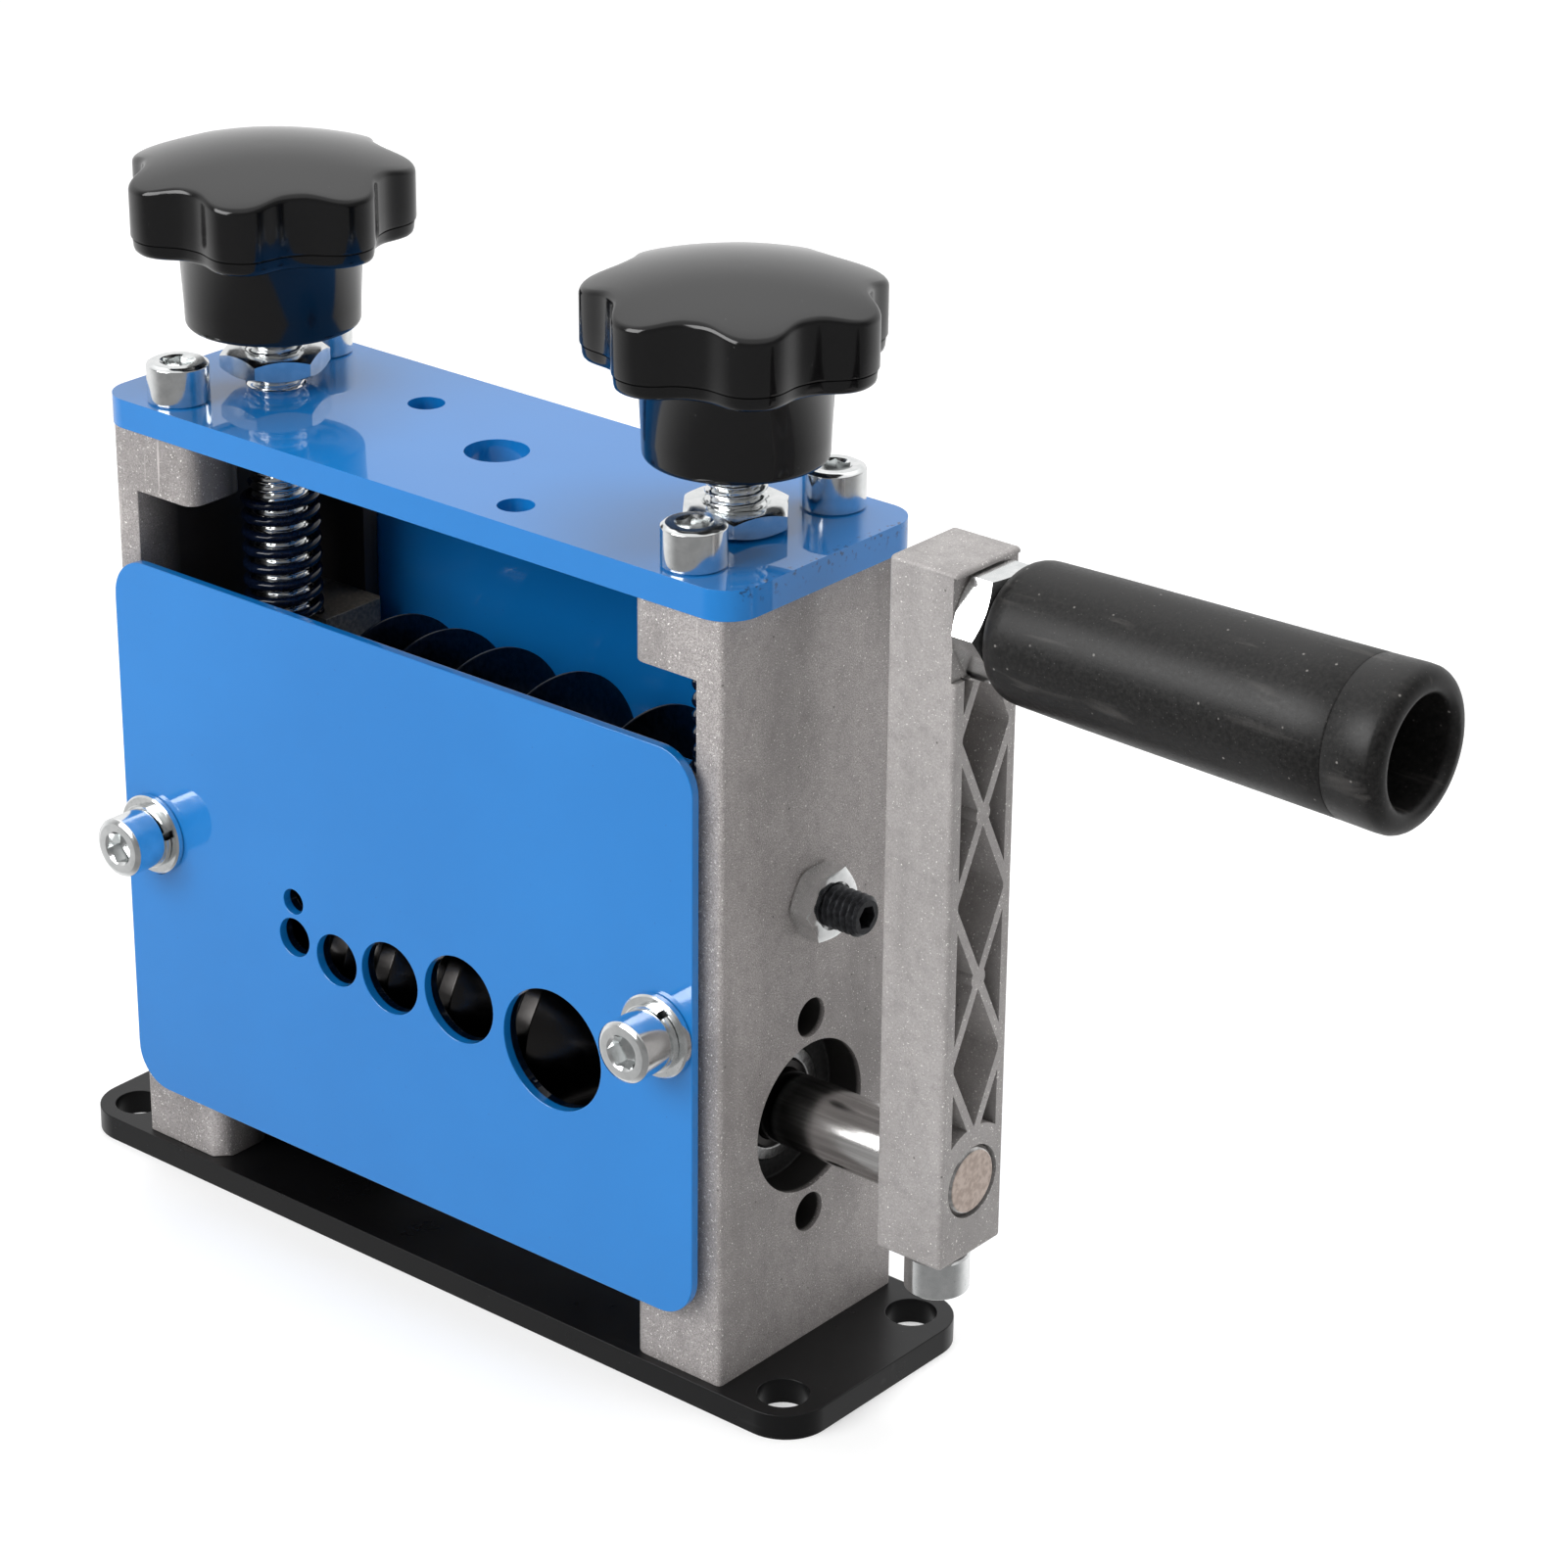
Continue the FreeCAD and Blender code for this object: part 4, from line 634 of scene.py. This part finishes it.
def turned_steel(name, tone, rough=(0.16, 0.30), grind=(0.04, 1.0, 1.0)):
    """Ground steel: fine lines along the way it was ground, oily patches."""
    shader = Shader(name)
    lines = shader.noise(900, 3.0, 0.6, vector=shader.stretch(grind))
    colour = shader.mix(shader.ramp(lines, 0.36, 0.64), tinted(tone, 0.5), tone)
    oil = shader.noise(90, 4.0)
    colour = shader.mix(shader.ramp(oil, 0.5, 0.75, 0.0, 0.35), colour, tinted(tone, 0.4))
    shader.link(colour, "Base Color")
    shader.set(Metallic=1.0)
    shader.link(shader.ramp(lines, 0.3, 0.7, *rough), "Roughness")
    shader.bump(lines, 0.006 * MM, 0.3)
    return shader.material


def roller_finish(name):
    """The roller, black between the frames; its shaft, bright outside; and its copper-tinted end."""
    shader = Shader(name)
    along = shader.axis("X")
    outside = shader.ramp(along, 63.0 * MM, 64.0 * MM)
    end = shader.both(shader.faces_right(), shader.ramp(along, 70 * MM, 71 * MM))
    lines = shader.noise(800, 2.0, 0.6, vector=shader.stretch((0.03, 1.0, 1.0)))
    bright = shader.mix(shader.ramp(lines, 0.36, 0.64), (0.52, 0.51, 0.50), (0.84, 0.83, 0.82))
    colour = shader.mix(outside, (0.045, 0.043, 0.042), bright)
    turned = shader.noise(900, 2.0)
    faced = shader.mix(shader.ramp(turned, 0.4, 0.6), (0.60, 0.49, 0.43), (0.78, 0.66, 0.59))
    colour = shader.mix(end, colour, faced)
    shader.link(colour, "Base Color")
    shader.set(Metallic=1.0)
    rough = shader.maths("ADD", shader.ramp(lines, 0.3, 0.7, 0.16, 0.24), shader.both(end, 0.2))
    shader.link(rough, "Roughness")
    return shader.material


def gloss_plastic(name):
    """Black glossy moulding with a few dust grains."""
    shader = Shader(name)
    dust = shader.cells(340)
    colour = shader.mix(shader.ramp(dust, 0.035, 0.018, 0.0, 0.6), (0.0035, 0.0034, 0.0036),
                        (0.12, 0.12, 0.12))
    shader.link(colour, "Base Color")
    shader.set(Specular_IOR_Level=0.5)
    shader.link(shader.ramp(shader.noise(70, 3.0), 0.3, 0.7, 0.10, 0.15), "Roughness")
    shader.bump(shader.noise(140, 2.0), 0.02 * MM, 0.1)
    return shader.material


def matte_plastic(name):
    """Black grip plastic: fine grain, dust caught in it and long light scuffs."""
    shader = Shader(name)
    grain = shader.noise(1500, 3.0, 0.7)
    colour = shader.mix(shader.ramp(grain, 0.4, 0.75), (0.0055, 0.0053, 0.0052), (0.017, 0.016, 0.0155))
    dust = shader.cells(330)
    colour = shader.mix(shader.ramp(dust, 0.085, 0.04, 0.0, 0.8), colour, (0.20, 0.19, 0.18))
    fine_dust = shader.cells(1100)
    colour = shader.mix(shader.ramp(fine_dust, 0.13, 0.06, 0.0, 0.35), colour, (0.12, 0.115, 0.11))
    scuff = shader.noise(300, 3.0, vector=shader.stretch((0.16, 1.0, 1.0)), distortion=0.5)
    colour = shader.mix(shader.ramp(scuff, 0.62, 0.76, 0.0, 0.5), colour, (0.075, 0.07, 0.066))
    shader.link(colour, "Base Color")
    shader.set(Specular_IOR_Level=0.32)
    shader.link(shader.ramp(grain, 0.3, 0.7, 0.34, 0.48), "Roughness")
    shader.bump(grain, 0.035 * MM, 0.4)
    return shader.material


def bearing_finish(name):
    """Ground steel, as on a bearing's rings."""
    shader = Shader(name)
    cloud = shader.noise(1200, 2.0)
    colour = shader.mix(shader.ramp(cloud, 0.4, 0.6), (0.42, 0.42, 0.42), (0.6, 0.6, 0.6))
    shader.link(colour, "Base Color")
    shader.set(Metallic=1.0, Roughness=0.25)
    return shader.material


def bronze(name):
    """Sintered bushes with a cloudy surface."""
    shader = Shader(name)
    cloud = shader.noise(1500, 2.0)
    colour = shader.mix(shader.ramp(cloud, 0.35, 0.65), (0.30, 0.17, 0.06), (0.45, 0.27, 0.11))
    shader.link(colour, "Base Color")
    shader.set(Metallic=1.0)
    shader.link(shader.ramp(cloud, 0.3, 0.7, 0.3, 0.45), "Roughness")
    return shader.material


def rubber_seal(name):
    """Black rubber of the bearings' seals."""
    shader = Shader(name)
    cloud = shader.noise(1500, 2.0)
    colour = shader.mix(shader.ramp(cloud, 0.4, 0.7), (0.012, 0.012, 0.012), (0.03, 0.03, 0.03))
    shader.link(colour, "Base Color")
    shader.set(Roughness=0.55)
    return shader.material


# Each finish: its function, and what that function takes after the name
MAKERS = {
    "base_paint": (black_paint,),
    "cast_metal": (cast_metal,),
    # The crank's casting: smoother grain of its own, and a lighter tone than the frames', painted light that
    # stands in for the shade the crank casts on the frames.
    "smooth_casting_painted_lighter": (cast_metal, (0.350, 0.332, 0.325), 0.3, 0.4),
    "blue_plate": (blue_plate,),
    "zinc": (zinc,),
    "black_steel": (dark_steel,),
    "roller_steel": (turned_steel, (0.50, 0.49, 0.475)),
    "roller_finish": (roller_finish,),
    "blade_steel": (turned_steel, (0.030, 0.033, 0.042), (0.28, 0.42), (1.0, 1.0, 1.0)),
    "bearing_steel": (bearing_finish,),
    "block_steel": (dark_steel, (0.12, 0.105, 0.085), 0.6, (0.35, 0.5)),
    "bronze": (bronze,),
    "spring_steel": (dark_steel, (0.0025, 0.005, 0.014), 0.0, (0.07, 0.10)),
    "knob_plastic": (gloss_plastic,),
    "grip_plastic": (matte_plastic,),
    "seal_rubber": (rubber_seal,),
}


def finish_of(slot_name):
    """The material of a finish, made at its first use."""
    if slot_name not in FINISHES:
        maker, *choices = MAKERS[slot_name]
        FINISHES[slot_name] = maker(slot_name, *choices)
    return FINISHES[slot_name]


# ------------------------------------------------------------------ pieces

def middle(node):
    """The centre of a node's box."""
    low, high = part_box(node)
    return (Vector(low) + Vector(high)) / 2


def dress_plates():
    """Base, blue plates, side frames and crank arm: the CAD shapes with rounded edges."""
    refine("base_plate", "base_paint", 0.35 * MM)
    refine("top_plate", "blue_plate", 0.45 * MM)
    refine("front_guide_plate", "blue_plate", 0.4 * MM, carve=relieve_back)
    refine("back_plate", "blue_plate", 0.4 * MM)
    for side in ("left", "right"):
        refine(f"{side}_side_frame", "cast_metal", 0.5 * MM, carve=round_columns)
    # The crank arm gets the smoother casting, whose tone is painted lighter than the frames'.
    refine("crank_arm", "cast_metal", 0.45 * MM, 3, 25, "smooth_casting_painted_lighter")


def dress_inside():
    """Roller, blades and what carries them."""
    refine("feed_roller", "roller_steel", 0.25 * MM, 2, finish="roller_finish")
    refine("blade_shaft", "roller_steel", 0.2 * MM, 2)
    refine("blade_spacers", "roller_steel", 0.2 * MM, 2)
    refine("block_bushes", "bronze", 0.2 * MM, 2)
    for side in ("left", "right"):
        refine(f"{side}_bearing_block", "block_steel", 0.3 * MM, 2)
    for number in range(1, 6):
        refine(f"cutting_blade_{number}", "blade_steel", 0.06 * MM, 1)


def top_screws():
    """Four cap screws on the top plate, each at its own turn."""
    screw = cap_screw_mesh("cap_screw")
    low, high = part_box("top_plate_screws")
    corners = [(x, y) for x in (low[0] + HEAD_RADIUS, high[0] - HEAD_RADIUS)
               for y in (low[1] + HEAD_RADIUS, high[1] - HEAD_RADIUS)]
    places = []
    for (x, y), turn in zip(corners, (0.2, 0.65, 0.35, 0.05)):
        places.append(moved(screw, pointing((0, 0, 1), (x, y, high[2] - HEAD_HEIGHT), turn)))
    fit("top_screws", joined("top_screws", places), "zinc", "top_plate_screws")


def plate_hardware():
    """Cap screws, spring washers and flat washers of the two upright plates, each on its seat."""
    screw = cap_screw_mesh("plate_screw", head=6.2 * MM)
    split = spring_washer_mesh("split", 5.6 * MM, 3.3 * MM, 1.25 * MM)
    flat = washer_mesh("flat", 7.0 * MM, 3.2 * MM, 1.4 * MM)
    plate_face = -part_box("front_guide_plate")[0][1]
    for end, outward in (("front", -1), ("back", 1)):
        low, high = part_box(f"{end}_plate_screws")
        span = (low[0] + HEAD_RADIUS, high[0] - HEAD_RADIUS)
        height = (low[2] + high[2]) / 2
        for mesh, word, above in ((screw, "plate_screws", 2.5 * MM), (split, "spring_washers", 1.3 * MM),
                                  (flat, "flat_washers", 0)):
            node = f"{end}_{word}"
            seat = outward * (plate_face + above)
            parts = []
            for count, x in enumerate(span):
                twist = 0.3 + 0.8 * count
                parts.append(moved(mesh, pointing((0, outward, 0), (x, seat, height), twist)))
            fit(node + "_detail", joined(node, parts), "zinc", node)


def lock_screws():
    """Black grub screws with real threads and hexagon sockets, and their nuts."""
    length = 16 * MM
    sunk = 5.1 * MM
    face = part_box("right_side_frame")[1][0]
    height = middle("side_lock_screws").z
    rod = threaded_rod("grub", 3.5 * MM, 1.25 * MM, length, 0.7 * MM, 10, 0.7 * MM)
    rod = drill(rod, hex_prism("grub_socket", 3.5 * MM, length - 4.5 * MM, length + 1 * MM, 0.8 * MM))
    nut = hex_nut("lock_nut", 11 * MM, 4.55 * MM, 3.4 * MM)
    rods = []
    nuts = []
    for side in (-1, 1):
        rods.append(moved(rod, pointing((side, 0, 0), (side * (face - sunk), 0, height), 0.3)))
        nuts.append(moved(nut, pointing((side, 0, 0), (side * face, 0, height))))
    fit("grub_screws", joined("grub_screws", rods), "black_steel", "side_lock_screws")
    fit("grub_nuts", joined("grub_nuts", nuts), "zinc", "side_lock_nuts")


def adjusters():
    """Threaded studs with a foot, and their jam nuts, each turned by so many degrees."""
    foot_height = 5.4 * MM
    foot = lathe("foot", [(ON_AXIS, 0), (5.5 * MM, 0), (5.5 * MM, 2.2 * MM), (3 * MM, 2.2 * MM),
                          (3 * MM, foot_height), (ON_AXIS, foot_height)], 48)
    for side, word, turn in ((-1, "left", 24.5), (1, "right", 38.5)):
        node = f"{word}_adjusting_screw"
        low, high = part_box(node)
        x = side * ADJUSTER_X
        start = low[2] + foot_height - 0.25 * MM
        rod = threaded_rod("stud", 4.9 * MM, 1.5 * MM, high[2] - start, 0.85 * MM, 8, 0.8 * MM)
        stud = joined(node, [moved(foot, pointing((0, 0, 1), (x, 0, low[2]))),
                             moved(rod, pointing((0, 0, 1), (x, 0, start)))])
        fit(word + "_stud", stud, "zinc", node, 50)
        low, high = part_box(f"{word}_jam_nut")
        nut = hex_nut("jam_nut", 16 * MM, high[2] - low[2], 4.8 * MM)
        seat = pointing((0, 0, 1), (x, 0, low[2]), math.radians(turn))
        fit(word + "_nut", moved(nut, seat), "zinc", f"{word}_jam_nut")


def springs():
    """Springs of round wire with closed ground ends, which stand on their blocks."""
    for side, word in ((-1, "left"), (1, "right")):
        node = f"{word}_spring"
        low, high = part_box(node)
        mesh = spring_mesh(node, 5.95 * MM, 0.84 * MM, high[2] - low[2], 8.4)
        seat = pointing((0, 0, 1), (side * ADJUSTER_X, 0, low[2]))
        fit(word + "_coil", moved(mesh, seat), "spring_steel", node, 60)


def spring_mesh(name, radius, wire, height, turns):
    """A helix of round wire, pressed flat over its first and last turn."""
    steps = int(turns * 36)
    sides = 12
    rest = height - 2 * wire
    closed = 0.9 / turns
    pitch_end = 2.0 * wire * turns
    ground = 0.12 * MM

    def climb(share):
        """Height along the wire: slow in the closed end turns, even between."""
        if share < closed:
            return pitch_end * share * 0.5 * (1 + share / closed)
        if share > 1 - closed:
            return rest - climb(1 - share)
        start = pitch_end * closed
        return start + (rest - 2 * start) * (share - closed) / (1 - 2 * closed)

    rows = []
    for step in range(steps + 1):
        share = step / steps
        angle = TAU * turns * share + 0.8
        level = wire + climb(share)
        row = []
        for side in range(sides):
            around = TAU * side / sides
            upright = min(max(level + wire * math.sin(around), ground), height - ground)
            row.append((radius + wire * math.cos(around), upright, angle))
        rows.append(row)
    return skin(name, rows)


KNOB_LOBES = 7
KNOB_RADIUS = 24 * MM
KNOB_VALLEY = 20.3 * MM
HUB_LENGTH = 14.8 * MM
KNOB_HEIGHT = 30.25 * MM
CROWN_RADIUS = 22.7 * MM
CROWN_DROP = 3.8 * MM


def knob_outline(angle):
    """Radius of the lobed outline: lobes with broad tips and round valleys between."""
    wave = 0.5 + 0.5 * math.cos(KNOB_LOBES * angle)
    broad = wave * wave * (3 - 2 * wave)
    return KNOB_VALLEY + (KNOB_RADIUS - KNOB_VALLEY) * (0.45 * wave + 0.55 * broad)


def crown(radius):
    """Height of the knob's smooth crown at a distance from the axis."""
    return KNOB_HEIGHT - CROWN_DROP * (radius / CROWN_RADIUS) ** 2


def knob_mesh(name, turn):
    """A star knob: a smooth crown cut to a lobed outline, with a parting line, over a round hub."""
    segments = KNOB_LOBES * 28
    angles = [TAU * step / segments for step in range(segments)]
    rims = [knob_outline(angle - turn) for angle in angles]
    edge = 1.35 * MM
    full = math.radians(70)
    rows = []

    def round_row(radius, height):
        """A round row of the hub."""
        rows.append([(radius, height, angle) for angle in angles])

    def lobed_row(inset, height):
        """A row that follows the lobed outline."""
        rows.append([(rim - inset, height, angle) for rim, angle in zip(rims, angles)])

    round_row(5.2 * MM, 0.3 * MM)
    hub_foot = [(12.0 * MM, 0.3 * MM), (12.2 * MM, 0), (14.5 * MM, 0), (14.6 * MM, 4 * MM)]
    for radius, height in rounded(hub_foot, 1.1 * MM, 5):
        round_row(radius, height)
    round_row(15.15 * MM, HUB_LENGTH - 0.4 * MM)
    round_row(15.5 * MM, HUB_LENGTH)
    skirt = [(3.0, 0.0), (1.35, 0.03), (0.95, 0.18), (0.62, 0.5), (0.42, 1.1), (0.32, 2.3)]
    parting_line = [(0.55, 2.4), (0.55, 2.56), (0.08, 2.66)]
    wall = [(0.0, 2.95), (0.0, 6.0)]
    for inset, above in skirt + parting_line + wall:
        lobed_row(inset * MM, HUB_LENGTH + above * MM)
    inners = [rim - edge * (1 - math.cos(full)) for rim in rims]
    for step in range(8):
        lift = full * step / 7
        inset = edge * (1 - math.cos(lift))
        below = edge * (math.sin(full) - math.sin(lift))
        rows.append([(rim - inset, crown(inner) - below, angle)
                     for rim, inner, angle in zip(rims, inners, angles)])
    for step in range(1, 14):
        share = 1 - step / 14
        rows.append([(inner * share, crown(inner * share), angle) for inner, angle in zip(inners, angles)])
    return skin(name, rows)


def knobs():
    """Star knobs: a lobe of the left one points to -58 degrees, of the right one to -43."""
    for side, word, turn in ((-1, "left", -58), (1, "right", -43)):
        low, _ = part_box(f"{word}_knob")
        mesh = knob_mesh(word + "_star", math.radians(turn))
        seat = pointing((0, 0, 1), (side * ADJUSTER_X, 0, low[2]))
        fit(word + "_star", moved(mesh, seat), "knob_plastic", f"{word}_knob", 50)


def handle():
    """Nut, bolt, clamp screw and grip of the crank."""
    low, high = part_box("handle_nut")
    nut = hex_nut("nut", 16 * MM, high[0] - low[0], 4.9 * MM)
    fit("crank_nut", moved(nut, pointing((1, 0, 0), (low[0], 0, HANDLE_AXIS))), "zinc", "handle_nut")
    refine("handle_bolt", "zinc", 0.3 * MM, 2)
    centre = middle("crank_clamp_screw")
    low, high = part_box("crank_clamp_screw")
    screw = cap_screw_mesh("clamp_screw", length=high[2] - low[2] - HEAD_HEIGHT)
    seat = pointing((0, 0, -1), (centre.x, 0, low[2] + HEAD_HEIGHT), 0.4)
    fit("clamp_screw", moved(screw, seat), "zinc", "crank_clamp_screw")
    low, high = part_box("grip")
    seat = pointing((1, 0, 0), (low[0], 0, HANDLE_AXIS))
    fit("hand_grip", moved(grip_mesh("hand_grip", high[0] - low[0]), seat), "grip_plastic", "grip", 50)


def grip_mesh(name, length):
    """Moulded grip: bulging near end, long taper, a seam ring and a rolled open end."""
    near = 11.0 * MM
    far = 12.4 * MM
    bore = 5.1 * MM
    hollow_floor = 24.0 * MM
    bulge = 3.6 * MM
    roll = 2.6 * MM
    seam = length - 9.2 * MM

    def body(at):
        """Radius of the long taper at a height."""
        return near + (far - near) * at / length

    profile = [(bore, 0.4 * MM), (bore + 0.3 * MM, 0.05 * MM)]
    for step in range(9):
        angle = math.radians(90 * step / 8)
        profile.append((near - bulge + bulge * math.sin(angle), 4.4 * MM * (1 - math.cos(angle))))
    for share in (0.25, 0.45, 0.65, 0.85):
        profile.append((body(seam * share), seam * share))
    ring = body(seam)
    profile += [(ring, seam - 0.25 * MM), (ring - 0.16 * MM, seam), (ring, seam + 0.25 * MM)]
    profile.append((far, length - 3.4 * MM))
    for step in range(1, 8):
        angle = math.radians(90 * step / 7)
        profile.append((far - roll + roll * math.cos(angle), length - roll + roll * math.sin(angle)))
    profile += [(9.2 * MM, length), (8.6 * MM, length - 0.5 * MM), (8.4 * MM, length - 1.6 * MM),
                (8.3 * MM, hollow_floor + 0.4 * MM), (8.0 * MM, hollow_floor), (bore, hollow_floor)]
    return lathe(name, profile, 96, closed=True)


def bearings():
    """Rings with rounded edges; the seal is set into the outer ring and has its own material."""
    outer = 14 * MM
    inner = 9.85 * MM
    seal = outer - 0.8 * MM
    sunk = 0.4 * MM
    for word in ("left", "right"):
        node = f"{word}_bearing_outer_ring"
        low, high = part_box(node)
        width = high[0] - low[0]
        profile = rounded([(outer, width / 2), (outer, 0), (seal, 0), (seal - 0.2 * MM, sunk),
                           (inner, 0.5 * MM), (inner, width - 0.5 * MM), (seal - 0.2 * MM, width - sunk),
                           (seal, width), (outer, width), (outer, width / 2 + 0.01 * MM)], 0.3 * MM, 3)
        mesh = lathe(word + "_ring", profile, 96, closed=True)
        seat = pointing((1, 0, 0), (low[0], 0, ROLLER_AXIS))
        piece = fit(word + "_ring", moved(mesh, seat), "bearing_steel", node)
        piece.data.materials.append(finish_of("seal_rubber"))
        for face in piece.data.polygons:
            centre = face.center
            if math.hypot(centre.y, centre.z - ROLLER_AXIS) < seal + 0.1 * MM:
                face.material_index = 1
        refine(f"{word}_bearing_inner_ring", "bearing_steel", 0.35 * MM, 3)


def leftovers():
    """Nodes whose CAD shape is right keep it and get the finish of their slot."""
    slots = {part["node"]: part["material_slot"] for part in frame["record"]["subparts"]}
    for node, piece in frame["nodes"].items():
        if piece.hide_render:
            continue
        piece.data.materials.clear()
        piece.data.materials.append(finish_of(slots[node]))


# ------------------------------------------------------------- surroundings

SOFT_LIGHT = 0.5
BACK_LEFT = (-0.69, 0.72, 0.0)


def make_world():
    """White to the eye and even as soft light; mirrored, a pale floor, a dim front, a lit back and top."""
    world = bpy.data.worlds.new("studio")
    bpy.context.scene.world = world
    world.use_nodes = True
    nodes = world.node_tree.nodes
    links = world.node_tree.links
    path = nodes.new("ShaderNodeLightPath")
    even = nodes["Background"]
    even.inputs["Strength"].default_value = SOFT_LIGHT
    even.inputs["Color"].default_value = (1, 1, 1, 1)
    seen = nodes.new("ShaderNodeBackground")
    seen.inputs["Strength"].default_value = 1.0
    seen.inputs["Color"].default_value = (1, 1, 1, 1)
    mirrored = nodes.new("ShaderNodeBackground")
    mirrored.inputs["Color"].default_value = (1, 1, 1, 1)
    place = nodes.new("ShaderNodeTexCoord")
    facing = nodes.new("ShaderNodeVectorMath")
    facing.operation = "DOT_PRODUCT"
    facing.inputs[1].default_value = BACK_LEFT
    links.new(place.outputs["Generated"], facing.inputs[0])
    height = nodes.new("ShaderNodeSeparateXYZ")
    links.new(place.outputs["Generated"], height.inputs["Vector"])

    def level(source, low, high, least, most):
        """A smooth step from least to most as the source goes from low to high."""
        node = nodes.new("ShaderNodeMapRange")
        node.interpolation_type = "SMOOTHSTEP"
        for socket, number in zip(("From Min", "From Max", "To Min", "To Max"), (low, high, least, most)):
            node.inputs[socket].default_value = number
        links.new(source, node.inputs["Value"])
        return node.outputs["Result"]

    across = facing.outputs["Value"]
    up = height.outputs["Z"]
    above_floor = level(up, -0.08, 0.10, 0.0, 1.0)
    floor = level(across, -0.5, 0.6, 0.26, 0.90)
    walls = level(across, -0.2, 0.7, 0.20, 0.90)
    ceiling = level(up, 0.45, 0.85, 0.0, 0.66)
    blend = nodes.new("ShaderNodeMix")
    links.new(above_floor, blend.inputs["Factor"])
    links.new(floor, blend.inputs["A"])
    links.new(walls, blend.inputs["B"])
    total = nodes.new("ShaderNodeMath")
    links.new(blend.outputs["Result"], total.inputs[0])
    links.new(ceiling, total.inputs[1])
    links.new(total.outputs["Value"], mirrored.inputs["Strength"])
    glossy = nodes.new("ShaderNodeMixShader")
    links.new(path.outputs["Is Glossy Ray"], glossy.inputs["Fac"])
    links.new(even.outputs["Background"], glossy.inputs[1])
    links.new(mirrored.outputs["Background"], glossy.inputs[2])
    mixer = nodes.new("ShaderNodeMixShader")
    links.new(path.outputs["Is Camera Ray"], mixer.inputs["Fac"])
    links.new(glossy.outputs["Shader"], mixer.inputs[1])
    links.new(seen.outputs["Background"], mixer.inputs[2])
    links.new(mixer.outputs["Shader"], nodes["World Output"].inputs["Surface"])


FLOOR_REACH = 6.0
# The floor as light meets it, then as the camera sees it
FLOOR_GREY = 0.93
SEEN_GREY = 0.60
SEEN_GLOW = 0.46


def make_floor():
    """A wide pale floor that keeps the object's shadow."""
    corners = [(x * FLOOR_REACH, y * FLOOR_REACH, 0) for x, y in ((-1, -1), (1, -1), (1, 1), (-1, 1))]
    mesh = mesh_from("floor", corners, [(0, 1, 2, 3)])
    floor = bpy.data.objects.new("floor", mesh)
    bpy.context.scene.collection.objects.link(floor)
    floor.visible_glossy = False
    material = bpy.data.materials.new("floor")
    material.use_nodes = True
    nodes = material.node_tree.nodes
    links = material.node_tree.links
    ground = nodes["Principled BSDF"]
    seen = nodes.new("ShaderNodeBsdfPrincipled")
    for surface, grey in ((ground, FLOOR_GREY), (seen, SEEN_GREY)):
        surface.inputs["Base Color"].default_value = (grey, grey, grey, 1)
        surface.inputs["Roughness"].default_value = 0.9
        surface.inputs["Specular IOR Level"].default_value = 0.1
    seen.inputs["Emission Color"].default_value = (1, 1, 1, 1)
    seen.inputs["Emission Strength"].default_value = SEEN_GLOW
    path = nodes.new("ShaderNodeLightPath")
    mixer = nodes.new("ShaderNodeMixShader")
    links.new(path.outputs["Is Camera Ray"], mixer.inputs["Fac"])
    links.new(ground.outputs["BSDF"], mixer.inputs[1])
    links.new(seen.outputs["BSDF"], mixer.inputs[2])
    links.new(mixer.outputs["Shader"], nodes["Material Output"].inputs["Surface"])
    floor.data.materials.append(material)


def area_light(name, place, target, width, depth, power, mirrored=False):
    """A soft lamp aimed at a target; mirrored lets it show in glossy surfaces."""
    data = bpy.data.lights.new(name, "AREA")
    data.shape = "RECTANGLE"
    data.size = width
    data.size_y = depth
    data.energy = power
    lamp = bpy.data.objects.new(name, data)
    bpy.context.scene.collection.objects.link(lamp)
    lamp.location = place
    lamp.visible_glossy = mirrored
    direction = Vector(target) - Vector(place)
    lamp.rotation_euler = direction.to_track_quat("-Z", "Y").to_euler()


def make_lights():
    """A key lamp from the front left, a weak one from the right and one overhead."""
    aim = (0.02, 0, 0.08)
    area_light("key", (-0.30, -1.0, 0.69), aim, 0.9, 0.7, 12.5, mirrored=True)
    area_light("side", (1.15, 0.32, 0.42), aim, 0.5, 0.7, 2.1)
    area_light("top", (0.0, 0.3, 1.2), aim, 0.9, 0.6, 10.0)


CAMERA_PLACE = (0.47442, -0.50179, 0.39523)
CAMERA_AZIMUTH = math.radians(39.5382)
CAMERA_HEIGHT = math.radians(24.3025)
CAMERA_ROLL = math.radians(0.6057)
CAMERA_LENS = 105.23
CAMERA_SENSOR = 36


def make_camera():
    """The photograph's viewpoint: a long lens from the front right, above."""
    data = bpy.data.cameras.new("camera")
    data.sensor_width = CAMERA_SENSOR
    data.lens = CAMERA_LENS
    camera = bpy.data.objects.new("camera", data)
    bpy.context.scene.collection.objects.link(camera)
    level = math.cos(CAMERA_HEIGHT)
    away = Vector((math.sin(CAMERA_AZIMUTH) * level, -math.cos(CAMERA_AZIMUTH) * level,
                   math.sin(CAMERA_HEIGHT)))
    right = Vector((math.cos(CAMERA_AZIMUTH), math.sin(CAMERA_AZIMUTH), 0))
    upward = away.cross(right)
    turned_right = right * math.cos(CAMERA_ROLL) + upward * math.sin(CAMERA_ROLL)
    turned_up = upward * math.cos(CAMERA_ROLL) - right * math.sin(CAMERA_ROLL)
    turn = Matrix((turned_right, turned_up, away)).transposed().to_4x4()
    camera.matrix_world = Matrix.Translation(CAMERA_PLACE) @ turn
    bpy.context.scene.camera = camera


make_camera()
make_world()
make_floor()
make_lights()
bpy.context.scene.view_settings.view_transform = "Standard"

dress_plates()
dress_inside()
top_screws()
plate_hardware()
lock_screws()
adjusters()
springs()
knobs()
handle()
bearings()
leftovers()
